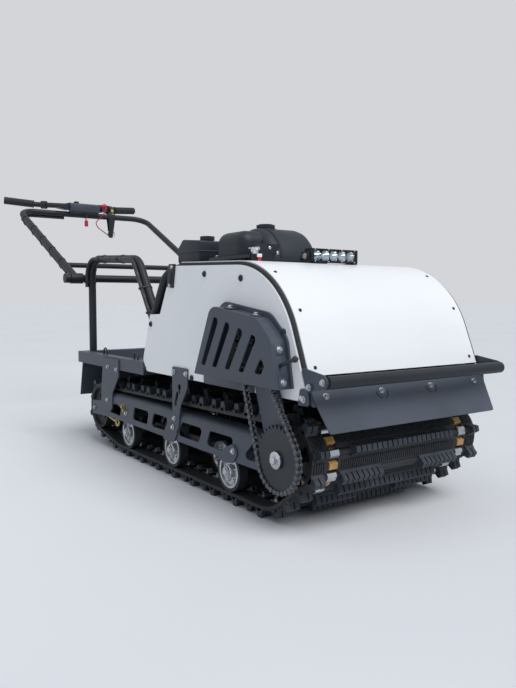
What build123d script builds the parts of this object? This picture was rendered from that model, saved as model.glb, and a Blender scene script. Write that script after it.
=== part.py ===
from build123d import *
from math import asin, atan2, cos, degrees, hypot, pi, radians, sin, tan
import os

# Tracked snow tug. Millimetres, +X forward, +Y to the left, +Z up, standing on its lugs at Z = 0.

# Sheet, tube and clearances
SHEET = 4
SKIN = 3
TUBE_R = 12.5
GAP = 0.3
RUNNING = 0.05

# Track belt
TRACK_WIDTH = 500
PITCH = 50
BAND = 8
LUG = 20
LUG_BASE = 24
LUG_TIP = 16
LUG_SINK = 3
PORT_Y = 198
PORT_WIDTH = 32
PORT_LENGTH = 21
DRIVE_TEETH = 8
DRIVE_X = 912
DRIVE_Z = 155
IDLER_REST_X = -115
IDLER_Z = 125
IDLER_R = 67
BEND_R = 116
GROUND_REAR = 45
GROUND_FRONT = DRIVE_X - 112

# Wheels and axles
WHEEL_R = 48
WHEEL_WIDTH = 24
RIM_R = 39.5
HUB_R = 16
RIM_WALL = 5
RIM_HOLE_R = 5
RIM_HOLES = 6
AXLE_R = 10
DRIVE_AXLE_R = 15
AXLE_END = 7
WHEEL_ROWS = (105, 237)

# Side rails: outer faces of rails, rack beams and panels share one plane
SIDE_Y = 266
RAIL_REAR = 20
RAIL_FRONT = DRIVE_X - 80
RAIL_BOTTOM = 124
RAIL_TOP = 180
RAIL_FLANGE = 48
RAIL_ROLL = 20
CARRIER = 8

# Body, hung over the track ahead of the rack
TUB_REAR = DRIVE_X - 657
TUB_FRONT = DRIVE_X + 66
TUB_Z = 278
TUB_WALL = 40
HOOD_HALF = 255
HOOD_REAR_X = DRIVE_X - 448
HOOD_REAR_Z = 572
HOOD_TOP_SLOPE = -1.9
HOOD_FRONT_X = DRIVE_X + 64
HOOD_FRONT_Z = 328
HOOD_FRONT_SLOPE = -68.7
HOOD_R = 230
TRIM_DEPTH = 17
PANEL_INSET = 10

# Chain drive
CHAIN_PITCH = 12.7
CHAIN_TEETH = 33
PINION_TEETH = 11
CHAIN_LINKS = 68
CHAIN_LEAN = 118
CHAIN_Y = 283
CHAIN_PLATE = 5.8
CHAIN_WIDTH = 12
ROLLER_R = 4.2
COVER_Y = 302

# Rack, hoops and steering bow
RACK_REAR = -262
RACK_Z = 264
RACK_H = 37
RACK_BEAM = 30
POST_X = -246
HOOP_TOP_Z = 616
HOOP_TOP_FRONT_X = TUB_REAR - 127
HOOP_TOP_FRONT_Z = 597
HOOP_FOOT_X = TUB_REAR + 90
HOOP_REAR_BEND = 64
HOOP_FRONT_BEND = 60
PIVOT_R = 13
PIVOT_Z = 550
PIVOT_HALF = 306
PIVOT_END = 16
SLEEVE_R = 18
SLEEVE_LENGTH = 42
SLEEVE_TO = PIVOT_HALF - PIVOT_END - 4
SLEEVE_FROM = SLEEVE_TO - SLEEVE_LENGTH
HOOP_Y = SLEEVE_FROM - TUBE_R - 13.5
BOW_R = 12
BOW_FOOT_Y = SLEEVE_FROM + 20
BOW_TOP_Y = BOW_FOOT_Y + 18
BOW_TOP_X = -885
BOW_TOP_Z = 846
BOW_BEND = 60
BRACE_R = 9
BRACE_SHARE = 0.17
BAR_R = 11
GRIP_R = 16
GRIP_LENGTH = 122
HARNESS_R = 6


def block(x, y, z, mode=Mode.ADD):
    """Adds or cuts a box given by its low and high sides."""
    with Locations(((x[0] + x[1]) / 2, (y[0] + y[1]) / 2, (z[0] + z[1]) / 2)):
        Box(x[1] - x[0], y[1] - y[0], z[1] - z[0], mode=mode)


def across(radius, half_length, mode=Mode.ADD):
    """Adds or cuts a round bar along Y at the current locations."""
    Cylinder(radius, 2 * half_length, rotation=(90, 0, 0), mode=mode)


def bent_tube(points, bends, radius):
    """A round bar along straight runs joined by arcs."""
    with BuildPart() as tube:
        with BuildLine() as path:
            FilletPolyline(*points, radius=bends)
        with BuildSketch(Plane(path.line @ 0, z_dir=path.line % 0)):
            Circle(radius)
        sweep()
    return tube.part


def sleeve_on(start, end, near, far, inner, outer):
    """A round sleeve along the line from start to end, between two distances from start."""
    start = Vector(*start)
    way = (Vector(*end) - start).normalized()
    with BuildPart() as sleeve:
        with BuildSketch(Plane(start + way * near, z_dir=way)):
            Circle(outer)
            if inner:
                Circle(inner, mode=Mode.SUBTRACT)
        extrude(amount=far - near)
    return sleeve.part


def sheet_face(points, bends, thickness):
    """The edge-on face of a bent sheet along its middle line."""
    with BuildSketch() as face:
        with BuildLine():
            FilletPolyline(*points, radius=bends)
        trace(line_width=thickness)
    return face.sketch


def rounded_face(points, bends):
    """A flat face with rounded corners."""
    with BuildSketch() as face:
        with BuildLine():
            FilletPolyline(*points, radius=bends, close=True)
        make_face()
    return face.sketch


# A belt or chain runs round circles (x, z, radius), taken anticlockwise and seen from the right side
def headings(circles):
    """The direction of each straight run, from one circle to the next."""
    found = []
    for (ax, az, ar), (bx, bz, br) in zip(circles, circles[1:] + circles[:1]):
        found.append(atan2(bz - az, bx - ax) + asin((ar - br) / hypot(bx - ax, bz - az)))
    return found


def rim_point(circle, heading, grow=0):
    """The point where a run with this heading touches the circle."""
    x, z, radius = circle
    return (x + (radius + grow) * sin(heading), z - (radius + grow) * cos(heading))


def stretches(circles):
    """Each arc's first heading and turn, and the length of the straight run after it."""
    ways = headings(circles)
    found = []
    for i, circle in enumerate(circles):
        turn = (ways[i] - ways[i - 1]) % (2 * pi)
        leave = rim_point(circle, ways[i])
        meet = rim_point(circles[(i + 1) % len(circles)], ways[i])
        found.append((circle, ways[i - 1], turn, hypot(meet[0] - leave[0], meet[1] - leave[1])))
    return found


def loop_length(circles):
    return sum(circle[2] * turn + run for circle, first, turn, run in stretches(circles))


def loop_place(circles, distance):
    """The point and heading at a distance along the loop."""
    for circle, first, turn, run in stretches(circles):
        if distance <= circle[2] * turn:
            heading = first + distance / circle[2]
            return (*rim_point(circle, heading), heading)
        distance -= circle[2] * turn
        if distance <= run:
            x, z = rim_point(circle, first + turn)
            heading = first + turn
            return (x + distance * cos(heading), z + distance * sin(heading), heading)
        distance -= run
    return loop_place(circles, distance)


def loop_face(circles, grow):
    """The face inside the loop, grown outwards by a distance."""
    with BuildSketch() as face:
        with BuildLine():
            for circle, first, turn, run in stretches(circles):
                arrive = rim_point(circle, first, grow)
                middle = rim_point(circle, first + turn / 2, grow)
                leave = rim_point(circle, first + turn, grow)
                ThreePointArc(arrive, middle, leave)
                end = (leave[0] + run * cos(first + turn), leave[1] + run * sin(first + turn))
                Line(leave, end)
        make_face()
    return face.sketch


def solve(length_of, wanted, low, high):
    """The value between low and high at which a growing length reaches the wanted one."""
    for _ in range(60):
        middle = (low + high) / 2
        if length_of(middle) < wanted:
            low = middle
        else:
            high = middle
    return (low + high) / 2


# Belt line: the drive drum carries whole pitches, the belt has an even number of them, and the
# idler is drawn back until it is tight
DRIVE_R = DRIVE_TEETH * PITCH / (2 * pi)
BAND_Z = LUG + BAND / 2
AXLE_Z = LUG + BAND + WHEEL_R


def belt_circles(reach):
    bend_z = BAND_Z + BEND_R + BAND / 2
    radius = BEND_R + BAND / 2
    return [
        (GROUND_REAR, bend_z, radius),
        (GROUND_FRONT, bend_z, radius),
        (DRIVE_X, DRIVE_Z, DRIVE_R),
        (DRIVE_X - reach, IDLER_Z, IDLER_R + BAND / 2),
    ]


LINKS = 2 * round(loop_length(belt_circles(DRIVE_X - IDLER_REST_X)) / PITCH / 2)
IDLER_REACH = solve(lambda reach: loop_length(belt_circles(reach)), LINKS * PITCH,
                    DRIVE_X - GROUND_REAR + IDLER_R, 2 * LINKS * PITCH)
BELT = belt_circles(IDLER_REACH)
IDLER_X = DRIVE_X - IDLER_REACH


def on_belt(pitches, rise):
    """A place on the belt, some pitches along it and raised from its middle line, facing outwards."""
    x, z, heading = loop_place(BELT, pitches * PITCH)
    return Location((x + rise * sin(heading), z - rise * cos(heading), 0), (0, 0, degrees(heading) + 180))


def lug_rows(first):
    """Every second lug row of the belt, from the given one on."""
    with BuildSketch() as rows:
        for row in range(first, LINKS, 2):
            with Locations(on_belt(row + 0.5, BAND / 2 - LUG_SINK)):
                Polygon(
                    (-LUG_BASE / 2, 0), (LUG_BASE / 2, 0),
                    (LUG_TIP / 2, LUG_SINK + LUG), (-LUG_TIP / 2, LUG_SINK + LUG),
                    align=None,
                )
    return rows.sketch


def port_rows():
    """The drive ports of one column, one between each two lug rows."""
    with BuildSketch() as rows:
        with Locations(*[on_belt(row, 0) for row in range(LINKS)]):
            Rectangle(PORT_LENGTH, 2 * BAND)
    return rows.sketch


# Lug columns: first row, inner and outer distance from the middle of the belt
PORT_EDGE = 6
LUG_COLUMNS = (
    (0, 60, PORT_Y - PORT_WIDTH / 2 - PORT_EDGE),
    (0, PORT_Y + PORT_WIDTH / 2 + PORT_EDGE, TRACK_WIDTH / 2),
    (1, 0, 150),
    (1, PORT_Y + PORT_WIDTH / 2 + PORT_EDGE, TRACK_WIDTH / 2 - PORT_EDGE),
)

with BuildPart() as track_belt:
    with BuildSketch(Plane.XZ):
        add(loop_face(BELT, BAND / 2))
        add(loop_face(BELT, -BAND / 2), mode=Mode.SUBTRACT)
    extrude(amount=TRACK_WIDTH / 2, both=True)
    for first, inner, outer in LUG_COLUMNS:
        for start in (inner, -outer):
            with BuildSketch(Plane.XZ.offset(start)):
                add(lug_rows(first))
            extrude(amount=outer - inner)
    for start in (PORT_Y - PORT_WIDTH / 2, -PORT_Y - PORT_WIDTH / 2):
        with BuildSketch(Plane.XZ.offset(start)):
            add(port_rows())
        extrude(amount=PORT_WIDTH, mode=Mode.SUBTRACT)

# Drive axle, drive sprockets and the carriers that hold the axle
DRIVE_HALF = SIDE_Y + CARRIER
DRUM_Y = 60
DRIVE_DRUM_R = DRIVE_R - BAND / 2 - GAP
TOOTH_BASE = 17
TOOTH_TIP = 11
TOOTH_WIDTH = PORT_WIDTH - 6
TOOTH_RISE = DRIVE_R + BAND / 2 + 3 - DRIVE_DRUM_R
TOOTH_SINK = 2
tooth_row = next(row for row in range(LINKS) if hypot(
    loop_place(BELT, row * PITCH)[0] - DRIVE_X, loop_place(BELT, row * PITCH)[1] - DRIVE_Z) < DRIVE_R + GAP)
TOOTH_TURN = degrees(loop_place(BELT, tooth_row * PITCH)[2]) - 90


def tooth_face():
    """A drive tooth that stands up from its foot at the origin."""
    with BuildSketch() as face:
        Polygon((-TOOTH_BASE / 2, 0), (TOOTH_BASE / 2, 0), (TOOTH_TIP / 2, TOOTH_SINK + TOOTH_RISE),
                (-TOOTH_TIP / 2, TOOTH_SINK + TOOTH_RISE), align=None)
    return face.sketch


with BuildPart() as drive_axle:
    with Locations((DRIVE_X, 0, DRIVE_Z)):
        across(DRIVE_AXLE_R, DRIVE_HALF)
    with BuildSketch(Plane(origin=(DRIVE_X, -DRIVE_HALF, DRIVE_Z), z_dir=(0, -1, 0))):
        Circle(DRIVE_AXLE_R)
    extrude(amount=CHAIN_Y + CHAIN_WIDTH / 2 - DRIVE_HALF)

with BuildPart() as drive_sprockets:
    with Locations(*[(DRIVE_X, side * DRUM_Y, DRIVE_Z) for side in (-1, 1)]):
        across(DRIVE_DRUM_R, WHEEL_WIDTH / 2)
        across(DRIVE_AXLE_R, WHEEL_WIDTH / 2, mode=Mode.SUBTRACT)
    for side in (-1, 1):
        with BuildSketch(Plane.XZ.offset(side * PORT_Y - TOOTH_WIDTH / 2)):
            with Locations((DRIVE_X, DRIVE_Z)):
                Circle(DRIVE_DRUM_R)
                with PolarLocations(DRIVE_DRUM_R - TOOTH_SINK, DRIVE_TEETH, start_angle=TOOTH_TURN):
                    add(tooth_face(), rotation=-90)
                Circle(DRIVE_AXLE_R, mode=Mode.SUBTRACT)
        extrude(amount=TOOTH_WIDTH)

CARRIER_TOP_X = DRIVE_X - 67
CARRIER_TOP_Z = 322
CARRIER_HALF = 38
with BuildPart() as drive_carriers:
    with BuildSketch(Plane.XZ.offset(SIDE_Y)):
        with BuildLine():
            FilletPolyline(
                (CARRIER_TOP_X - CARRIER_HALF, CARRIER_TOP_Z), (CARRIER_TOP_X + CARRIER_HALF, CARRIER_TOP_Z),
                (DRIVE_X + CARRIER_HALF, DRIVE_Z), (DRIVE_X + CARRIER_HALF / 2, DRIVE_Z - CARRIER_HALF),
                (DRIVE_X - CARRIER_HALF, DRIVE_Z - CARRIER_HALF / 2),
                radius=10, close=True,
            )
        make_face()
        with Locations((DRIVE_X, DRIVE_Z)):
            Circle(DRIVE_AXLE_R, mode=Mode.SUBTRACT)
    extrude(amount=CARRIER)
    mirror(about=Plane.XZ)


def wheel_body(radius):
    """A wheel along Y at the origin: hub, thin web with holes, and rim."""
    half = WHEEL_WIDTH / 2
    with BuildPart() as body:
        across(radius, half)
        for side in (-1, 1):
            with BuildSketch(Plane.XZ.offset(side * half)):
                Circle(radius - RIM_WALL)
                Circle(HUB_R, mode=Mode.SUBTRACT)
            extrude(amount=-side * (half - RIM_WALL / 2), mode=Mode.SUBTRACT)
        with BuildSketch(Plane.XZ):
            with PolarLocations((HUB_R + radius - RIM_WALL) / 2, RIM_HOLES):
                Circle(RIM_HOLE_R)
        extrude(amount=half, both=True, mode=Mode.SUBTRACT)
        across(AXLE_R, half, mode=Mode.SUBTRACT)
    return body.part


# Rear idler
with BuildPart() as idler_axle:
    with Locations((IDLER_X, 0, IDLER_Z)):
        across(AXLE_R, SIDE_Y)

with BuildPart() as idler_wheels:
    with Locations(*[(IDLER_X, side * y, IDLER_Z) for y in WHEEL_ROWS for side in (-1, 1)]):
        add(wheel_body(IDLER_R - GAP))

# Road wheels on three axles
WHEEL_FIRST = 89
WHEEL_LAST = 159
WHEEL_MID_SHARE = 0.5
wheel_span = RAIL_FRONT - WHEEL_LAST - RAIL_REAR - WHEEL_FIRST
WHEEL_X = [RAIL_REAR + WHEEL_FIRST + share * wheel_span for share in (0, WHEEL_MID_SHARE, 1)]
wheel_places = [(x, side * y, AXLE_Z) for x in WHEEL_X for y in WHEEL_ROWS for side in (-1, 1)]

with BuildPart() as road_axles:
    with Locations(*[(x, 0, AXLE_Z) for x in WHEEL_X]):
        across(AXLE_R, WHEEL_ROWS[1] + WHEEL_WIDTH / 2 + AXLE_END)

with BuildPart() as road_wheel_rims:
    with Locations(*wheel_places):
        add(wheel_body(RIM_R))

with BuildPart() as road_wheel_tyres:
    with Locations(*wheel_places):
        across(WHEEL_R - GAP, WHEEL_WIDTH / 2)
        across(RIM_R, WHEEL_WIDTH / 2, mode=Mode.SUBTRACT)

# Wheel arms: a plate beside each outer wheel holds the axle, and its boss reaches over to the rail
ARM_HALF = 15
ARM_BOSS_R = 11
ARM_CLEAR = 4
ARM_LEANS = (24, 24, 58)
ARM_RISE = WHEEL_R + ARM_CLEAR + ARM_BOSS_R
ARM_FACE = WHEEL_ROWS[1] - WHEEL_WIDTH / 2 - GAP
arm_heads = [(x + lean, AXLE_Z + ARM_RISE) for x, lean in zip(WHEEL_X, ARM_LEANS)]
with BuildPart() as wheel_arms:
    with BuildSketch(Plane.XZ.offset(ARM_FACE - CARRIER)):
        for x, lean in zip(WHEEL_X, ARM_LEANS):
            with Locations((x + lean / 2, AXLE_Z + ARM_RISE / 2)):
                SlotCenterToCenter(hypot(lean, ARM_RISE), 2 * ARM_HALF,
                                   rotation=degrees(atan2(ARM_RISE, lean)))
            with Locations((x, AXLE_Z)):
                Circle(AXLE_R, mode=Mode.SUBTRACT)
    extrude(amount=CARRIER)
    with BuildSketch(Plane.XZ.offset(ARM_FACE - CARRIER)):
        with Locations(*arm_heads):
            Circle(ARM_BOSS_R)
    extrude(amount=SIDE_Y - SHEET - ARM_FACE + CARRIER)
    mirror(about=Plane.XZ)

# Side rails: rolled sheet with a rounded shoulder, windows and a tail that holds the idler axle
# Windows: the wheel behind, rear and front end at the foot as shares of the way to the next wheel,
# and how far the head leans forward at each end
RAIL_WINDOWS = (
    (0, 0.223, 0.628, 6, 4),
    (0, 0.681, 0.972, 6, 4),
    (1, 0.214, 0.676, 4, 6),
    (1, 0.783, 1.153, -16, 6),
)
WINDOW_EDGE = 6
WINDOW_FOOT = RAIL_BOTTOM + WINDOW_EDGE
WINDOW_HEAD = RAIL_TOP - RAIL_ROLL
WINDOW_ROUND = 8
CORNER_FROM = 76
CORNER_TO = 18
TAIL_HALF = 22
TAIL_ROUND = 12


def rail(side):
    with BuildPart() as one:
        with BuildSketch(Plane.YZ.offset(RAIL_REAR)):
            web = -SIDE_Y + SHEET / 2
            add(sheet_face(
                [(web, RAIL_BOTTOM), (web, RAIL_TOP - SHEET / 2), (web + RAIL_FLANGE, RAIL_TOP - SHEET / 2)],
                RAIL_ROLL, SHEET,
            ))
        extrude(amount=RAIL_FRONT - RAIL_REAR)
        with BuildSketch(Plane.XZ.offset(SIDE_Y)):
            for wheel, rear_share, front_share, rear_lean, front_lean in RAIL_WINDOWS:
                span = WHEEL_X[wheel + 1] - WHEEL_X[wheel]
                rear = WHEEL_X[wheel] + rear_share * span
                front = WHEEL_X[wheel] + front_share * span
                add(rounded_face([
                    (rear, WINDOW_FOOT), (front, WINDOW_FOOT),
                    (front + front_lean, WINDOW_HEAD), (rear + rear_lean, WINDOW_HEAD),
                ], WINDOW_ROUND))
            add(rounded_face([
                (RAIL_FRONT - CORNER_FROM, WINDOW_FOOT), (RAIL_FRONT - CORNER_TO, WINDOW_FOOT),
                (RAIL_FRONT - CORNER_TO, WINDOW_HEAD),
            ], WINDOW_ROUND / 2))
        extrude(amount=-SHEET, mode=Mode.SUBTRACT)
        with BuildSketch(Plane.XZ.offset(SIDE_Y - SHEET)):
            add(rounded_face([
                (IDLER_X - TAIL_HALF, IDLER_Z - TAIL_HALF), (RAIL_REAR + SHEET, RAIL_BOTTOM),
                (RAIL_REAR + SHEET, RAIL_TOP - RAIL_ROLL), (IDLER_X - TAIL_HALF, IDLER_Z + TAIL_HALF),
            ], [TAIL_ROUND, 1, 1, TAIL_ROUND]))
            with Locations((IDLER_X, IDLER_Z)):
                Circle(AXLE_R, mode=Mode.SUBTRACT)
        extrude(amount=SHEET)
    return one.part if side < 0 else mirror(one.part, about=Plane.XZ)


with BuildPart() as rail_right:
    add(rail(-1))

with BuildPart() as rail_left:
    add(rail(1))

# Cross tubes stand on the solid web, ahead of the first arm and between the two front windows
CROSS_CLEAR = 1.5
web_share = (RAIL_WINDOWS[2][2] + RAIL_WINDOWS[3][1]) / 2
CROSS_TUBE_X = (
    arm_heads[0][0] + ARM_HALF + TUBE_R + CROSS_CLEAR,
    WHEEL_X[1] + web_share * (WHEEL_X[2] - WHEEL_X[1]),
)
with BuildPart() as rail_cross_tubes:
    with Locations(*[(x, 0, RAIL_TOP - RAIL_ROLL - TUBE_R - SHEET) for x in CROSS_TUBE_X]):
        across(TUBE_R, SIDE_Y - SHEET)

# Hangers: plates outside the track that carry the rails from the body and the rack, the middle one
# with a keyhole and a slot through it
HANGER = 4
HANGER_X = WHEEL_X[1] + 45
KEYHOLE_R = 8
KEYHOLE_Z = 254
HANGER_SLOT_Z = 222
with BuildPart() as mid_hangers:
    with BuildSketch(Plane.XZ.offset(SIDE_Y)):
        add(rounded_face([
            (HANGER_X, 304), (HANGER_X + 80, 304), (HANGER_X + 80, 256), (HANGER_X + 42, 204),
            (HANGER_X + 30, 140), (HANGER_X, 140),
        ], [4, 4, 8, 8, 12, 12]))
        with Locations((HANGER_X + 38, KEYHOLE_Z)):
            Circle(KEYHOLE_R, mode=Mode.SUBTRACT)
        with Locations((HANGER_X + 38, KEYHOLE_Z - KEYHOLE_R)):
            Rectangle(KEYHOLE_R, 2 * KEYHOLE_R, mode=Mode.SUBTRACT)
        with Locations((HANGER_X + 22, HANGER_SLOT_Z)):
            SlotOverall(5 * KEYHOLE_R, 1.5 * KEYHOLE_R, rotation=70, mode=Mode.SUBTRACT)
    extrude(amount=HANGER)
    mirror(about=Plane.XZ)

with BuildPart() as rear_hangers:
    with BuildSketch(Plane.XZ.offset(SIDE_Y)):
        add(rounded_face([(-30, 296), (88, 296), (88, 244), (40, 190), (34, 134), (-48, 134), (-48, 190)],
                         [4, 4, 8, 8, 12, 12, 4]))
    extrude(amount=HANGER)
    mirror(about=Plane.XZ)

# Body tub: floor, side walls and a sloping front lip that carries the front flap
FLAP_TOP = (DRIVE_X + 72, 300)
FLAP_FOOT = (DRIVE_X + 117, 221)
FLAP_ROUND = 6
FLAP_TAPER = 13
FLAP_LIP = 32
flap_way = (Vector(*FLAP_FOOT) - Vector(*FLAP_TOP)).normalized()
flap_out = Vector(-flap_way.Y, flap_way.X)
INNER_Y = SIDE_Y - SHEET

with BuildPart() as body_tub:
    block((TUB_REAR, TUB_FRONT), (-INNER_Y, INNER_Y), (TUB_Z, TUB_Z + SHEET))
    for side in (-1, 1):
        wall = sorted((side * INNER_Y, side * (INNER_Y - SHEET)))
        block((TUB_REAR, FLAP_TOP[0]), wall, (TUB_Z, TUB_Z + TUB_WALL))
    with BuildSketch(Plane.XZ.offset(-INNER_Y)):
        lip_top = Vector(*FLAP_TOP)
        lip_foot = lip_top + flap_way * FLAP_LIP
        back = flap_out * -SHEET
        Polygon(
            tuple(lip_top)[:2], tuple(lip_foot)[:2], tuple(lip_foot + back)[:2],
            (TUB_FRONT - SHEET, TUB_Z), (TUB_FRONT - SHEET, TUB_Z + SHEET), tuple(lip_top + back)[:2],
            align=None,
        )
    extrude(amount=2 * INNER_Y)

with BuildPart() as front_flap:
    flap_plane = Plane(
        origin=(FLAP_TOP[0], 0, FLAP_TOP[1]), x_dir=(0, 1, 0), z_dir=(flap_out.X, 0, flap_out.Y)
    )
    flap_length = hypot(FLAP_FOOT[0] - FLAP_TOP[0], FLAP_FOOT[1] - FLAP_TOP[1])
    with BuildSketch(flap_plane):
        foot_half = INNER_Y - FLAP_TAPER
        add(rounded_face([
            (-INNER_Y, 0), (INNER_Y, 0), (foot_half, -flap_length), (-foot_half, -flap_length),
        ], FLAP_ROUND))
    extrude(amount=SKIN)

# Hood line: top run, front run and the bend between them, offset inwards
def hood_path(inset):
    top, front = radians(HOOD_TOP_SLOPE), radians(HOOD_FRONT_SLOPE)
    ax, az = HOOD_REAR_X + inset * sin(top), HOOD_REAR_Z - inset * cos(top)
    bx, bz = HOOD_FRONT_X + inset * sin(front), HOOD_FRONT_Z - inset * cos(front)
    share = ((bx - ax) * sin(front) - (bz - az) * cos(front)) / sin(front - top)
    return [(ax, az), (ax + share * cos(top), az + share * sin(top)), (bx, bz)]


TANK_X = (HOOD_REAR_X + 28, HOOD_REAR_X + 188)
TANK_Y = (-176, 36)
TANK_Z = (549, 646)
CUT_MARGIN = 22

with BuildPart() as hood_sheet:
    with BuildSketch(Plane.XZ.offset(-HOOD_HALF)):
        add(sheet_face(hood_path(SKIN / 2), HOOD_R - SKIN / 2, SKIN))
    extrude(amount=2 * HOOD_HALF)
    block((HOOD_REAR_X - CUT_MARGIN, TANK_X[1] + CUT_MARGIN),
          (TANK_Y[0] - CUT_MARGIN, TANK_Y[1] + CUT_MARGIN),
          (HOOD_REAR_Z - 60, HOOD_REAR_Z + 20), mode=Mode.SUBTRACT)

TRIM_INNER = 18
with BuildPart() as hood_trims:
    with BuildSketch(Plane.XZ.offset(INNER_Y - TRIM_INNER)):
        middle = SKIN + TRIM_DEPTH / 2
        add(sheet_face(hood_path(middle), HOOD_R - middle, TRIM_DEPTH))
    extrude(amount=TRIM_INNER)
    mirror(about=Plane.XZ)


# Side panels: sheet with a step at the rear that clears the body hoop
PANEL_FOOT_Z = 304
PANEL_BACK = 32


def panel(side):
    rear, corner, front = hood_path(PANEL_INSET)
    foot_x = HOOD_FRONT_X + (HOOD_FRONT_Z - PANEL_FOOT_Z) / tan(radians(-HOOD_FRONT_SLOPE)) - PANEL_INSET
    back = (rear[0] - PANEL_BACK, rear[1] - PANEL_BACK * tan(radians(HOOD_TOP_SLOPE)))
    outline = [
        back, corner, (foot_x, PANEL_FOOT_Z), (foot_x - 14, TUB_Z), (TUB_REAR + 23, TUB_Z),
        (TUB_REAR, 309), (TUB_REAR + 47, 436), (TUB_REAR + 107, 438),
    ]
    with BuildPart() as one:
        with BuildSketch(Plane.XZ.offset(INNER_Y)):
            add(rounded_face(outline, [6, HOOD_R - PANEL_INSET, 4, 4, 14, 14, 6, 6]))
        extrude(amount=SHEET)
    return one.part if side < 0 else mirror(one.part, about=Plane.XZ)


with BuildPart() as side_panel_right:
    add(panel(-1))

with BuildPart() as side_panel_left:
    add(panel(1))

# Body hoop: a bent tube that rises from the floor, leans forward and crosses below the filter
BODY_HOOP_Y = INNER_Y - SHEET - TUBE_R - GAP
BODY_HOOP_X = TUB_REAR + 118
BODY_HOOP_Z = HOOD_REAR_Z - TUBE_R
BODY_HOOP_FOOT_X = TUB_REAR + 33
BODY_HOOP_KNEE_Z = 430
HOOP_BEND = 40
with BuildPart() as body_hoop:
    add(bent_tube([
        (BODY_HOOP_FOOT_X, -BODY_HOOP_Y, TUB_Z + SHEET), (BODY_HOOP_FOOT_X, -BODY_HOOP_Y, BODY_HOOP_KNEE_Z),
        (BODY_HOOP_X, -BODY_HOOP_Y, BODY_HOOP_Z), (BODY_HOOP_X, BODY_HOOP_Y, BODY_HOOP_Z),
        (BODY_HOOP_FOOT_X, BODY_HOOP_Y, BODY_HOOP_KNEE_Z), (BODY_HOOP_FOOT_X, BODY_HOOP_Y, TUB_Z + SHEET),
    ], HOOP_BEND, TUBE_R))

# Engine block, tank, filter and what stands on the hood
ENGINE_Y = (-190, 110)
ENGINE_REAR = HOOD_REAR_X - 6
ENGINE_FRONT = TANK_X[1] + 48
ENGINE_STEP = TANK_X[1] + 12
ENGINE_STEP_Z = 470
with BuildPart() as engine_block:
    with BuildSketch(Plane.XZ.offset(-ENGINE_Y[1])):
        add(rounded_face([
            (ENGINE_REAR, TUB_Z + SHEET), (ENGINE_FRONT, TUB_Z + SHEET), (ENGINE_FRONT, ENGINE_STEP_Z),
            (ENGINE_STEP, TANK_Z[0] - GAP), (ENGINE_REAR, TANK_Z[0] - GAP),
        ], [2, 2, 30, 20, 8]))
    extrude(amount=ENGINE_Y[1] - ENGINE_Y[0])

# The tank is a rounded box with a barrel across its left part and a neck under the cap
TANK_CORNER = 34
TANK_CROWN = 30
TANK_SEAM = 3
BARREL_R = 94
BARREL_Y = (-100, TANK_Y[1] - 2)
BARREL_Z = 563
BARREL_ROUND = 20
CAP_R = 24
CAP_H = 9
NECK_Z = BARREL_Z + BARREL_R + 1
tank_x = (TANK_X[0] + TANK_X[1]) / 2
tank_y = (TANK_Y[0] + TANK_Y[1]) / 2
with BuildPart() as tank_barrel:
    with Locations((tank_x, (BARREL_Y[0] + BARREL_Y[1]) / 2, BARREL_Z)):
        across(BARREL_R, (BARREL_Y[1] - BARREL_Y[0]) / 2)
    fillet(tank_barrel.edges().filter_by(GeomType.CIRCLE), BARREL_ROUND)
    block((tank_x - 2 * BARREL_R, tank_x + 2 * BARREL_R), BARREL_Y,
          (BARREL_Z - 2 * BARREL_R, TANK_Z[0]), mode=Mode.SUBTRACT)

with BuildPart() as fuel_tank:
    block(TANK_X, TANK_Y, TANK_Z)
    fillet(fuel_tank.edges().filter_by(Axis.Z), TANK_CORNER)
    fillet(fuel_tank.faces().sort_by(Axis.Z)[-1].edges(), TANK_CROWN)
    add(tank_barrel.part)
    with BuildSketch(Plane.XY.offset(NECK_Z)):
        with Locations((tank_x, tank_y)):
            Circle(CAP_R + 2)
    extrude(amount=-TANK_CROWN)
    with BuildSketch(Plane.XY.offset(TANK_Z[0])):
        with Locations((tank_x, tank_y)):
            RectangleRounded(TANK_X[1] - TANK_X[0] + 2 * TANK_SEAM, TANK_Y[1] - TANK_Y[0] + 2 * TANK_SEAM,
                             TANK_CORNER + TANK_SEAM)
    extrude(amount=2 * TANK_SEAM)

with BuildPart() as fuel_cap:
    with Locations((tank_x, tank_y, NECK_Z + CAP_H / 2)):
        Cylinder(CAP_R, CAP_H)

FILTER_X = (TANK_X[0] - 170, TANK_X[0] - 51)
FILTER_Y = (-190, -70)
FILTER_Z = (574, 640)
FILTER_KNOB_R = 22
FILTER_KNOB_H = 14
FILTER_NECK = 18
FILTER_CLEAR = 8
with BuildPart() as air_filter:
    with BuildSketch(Plane.XZ.offset(-FILTER_Y[1])):
        add(rounded_face([
            (FILTER_X[0], FILTER_Z[0]), (FILTER_X[1], FILTER_Z[0]), (FILTER_X[1], FILTER_Z[1] - 8),
            (FILTER_X[0] + 26, FILTER_Z[1]), (FILTER_X[0], FILTER_Z[1] - 22),
        ], [6, 6, 10, 14, 14]))
    extrude(amount=FILTER_Y[1] - FILTER_Y[0])
    filter_y = (FILTER_Y[0] + FILTER_Y[1]) / 2
    with Locations(((FILTER_X[0] + FILTER_X[1]) / 2, filter_y, FILTER_Z[1] + 3)):
        Cylinder(FILTER_KNOB_R, FILTER_KNOB_H)
    block((FILTER_X[1] - SKIN, TANK_X[0] - FILTER_CLEAR), (filter_y - FILTER_NECK, filter_y + FILTER_NECK),
          (TANK_Z[0], FILTER_Z[0] + FILTER_NECK))

# Switch plate and light bar stand on the hood's top run
def hood_z(x):
    return HOOD_REAR_Z + (x - HOOD_REAR_X) * tan(radians(HOOD_TOP_SLOPE))


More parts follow.
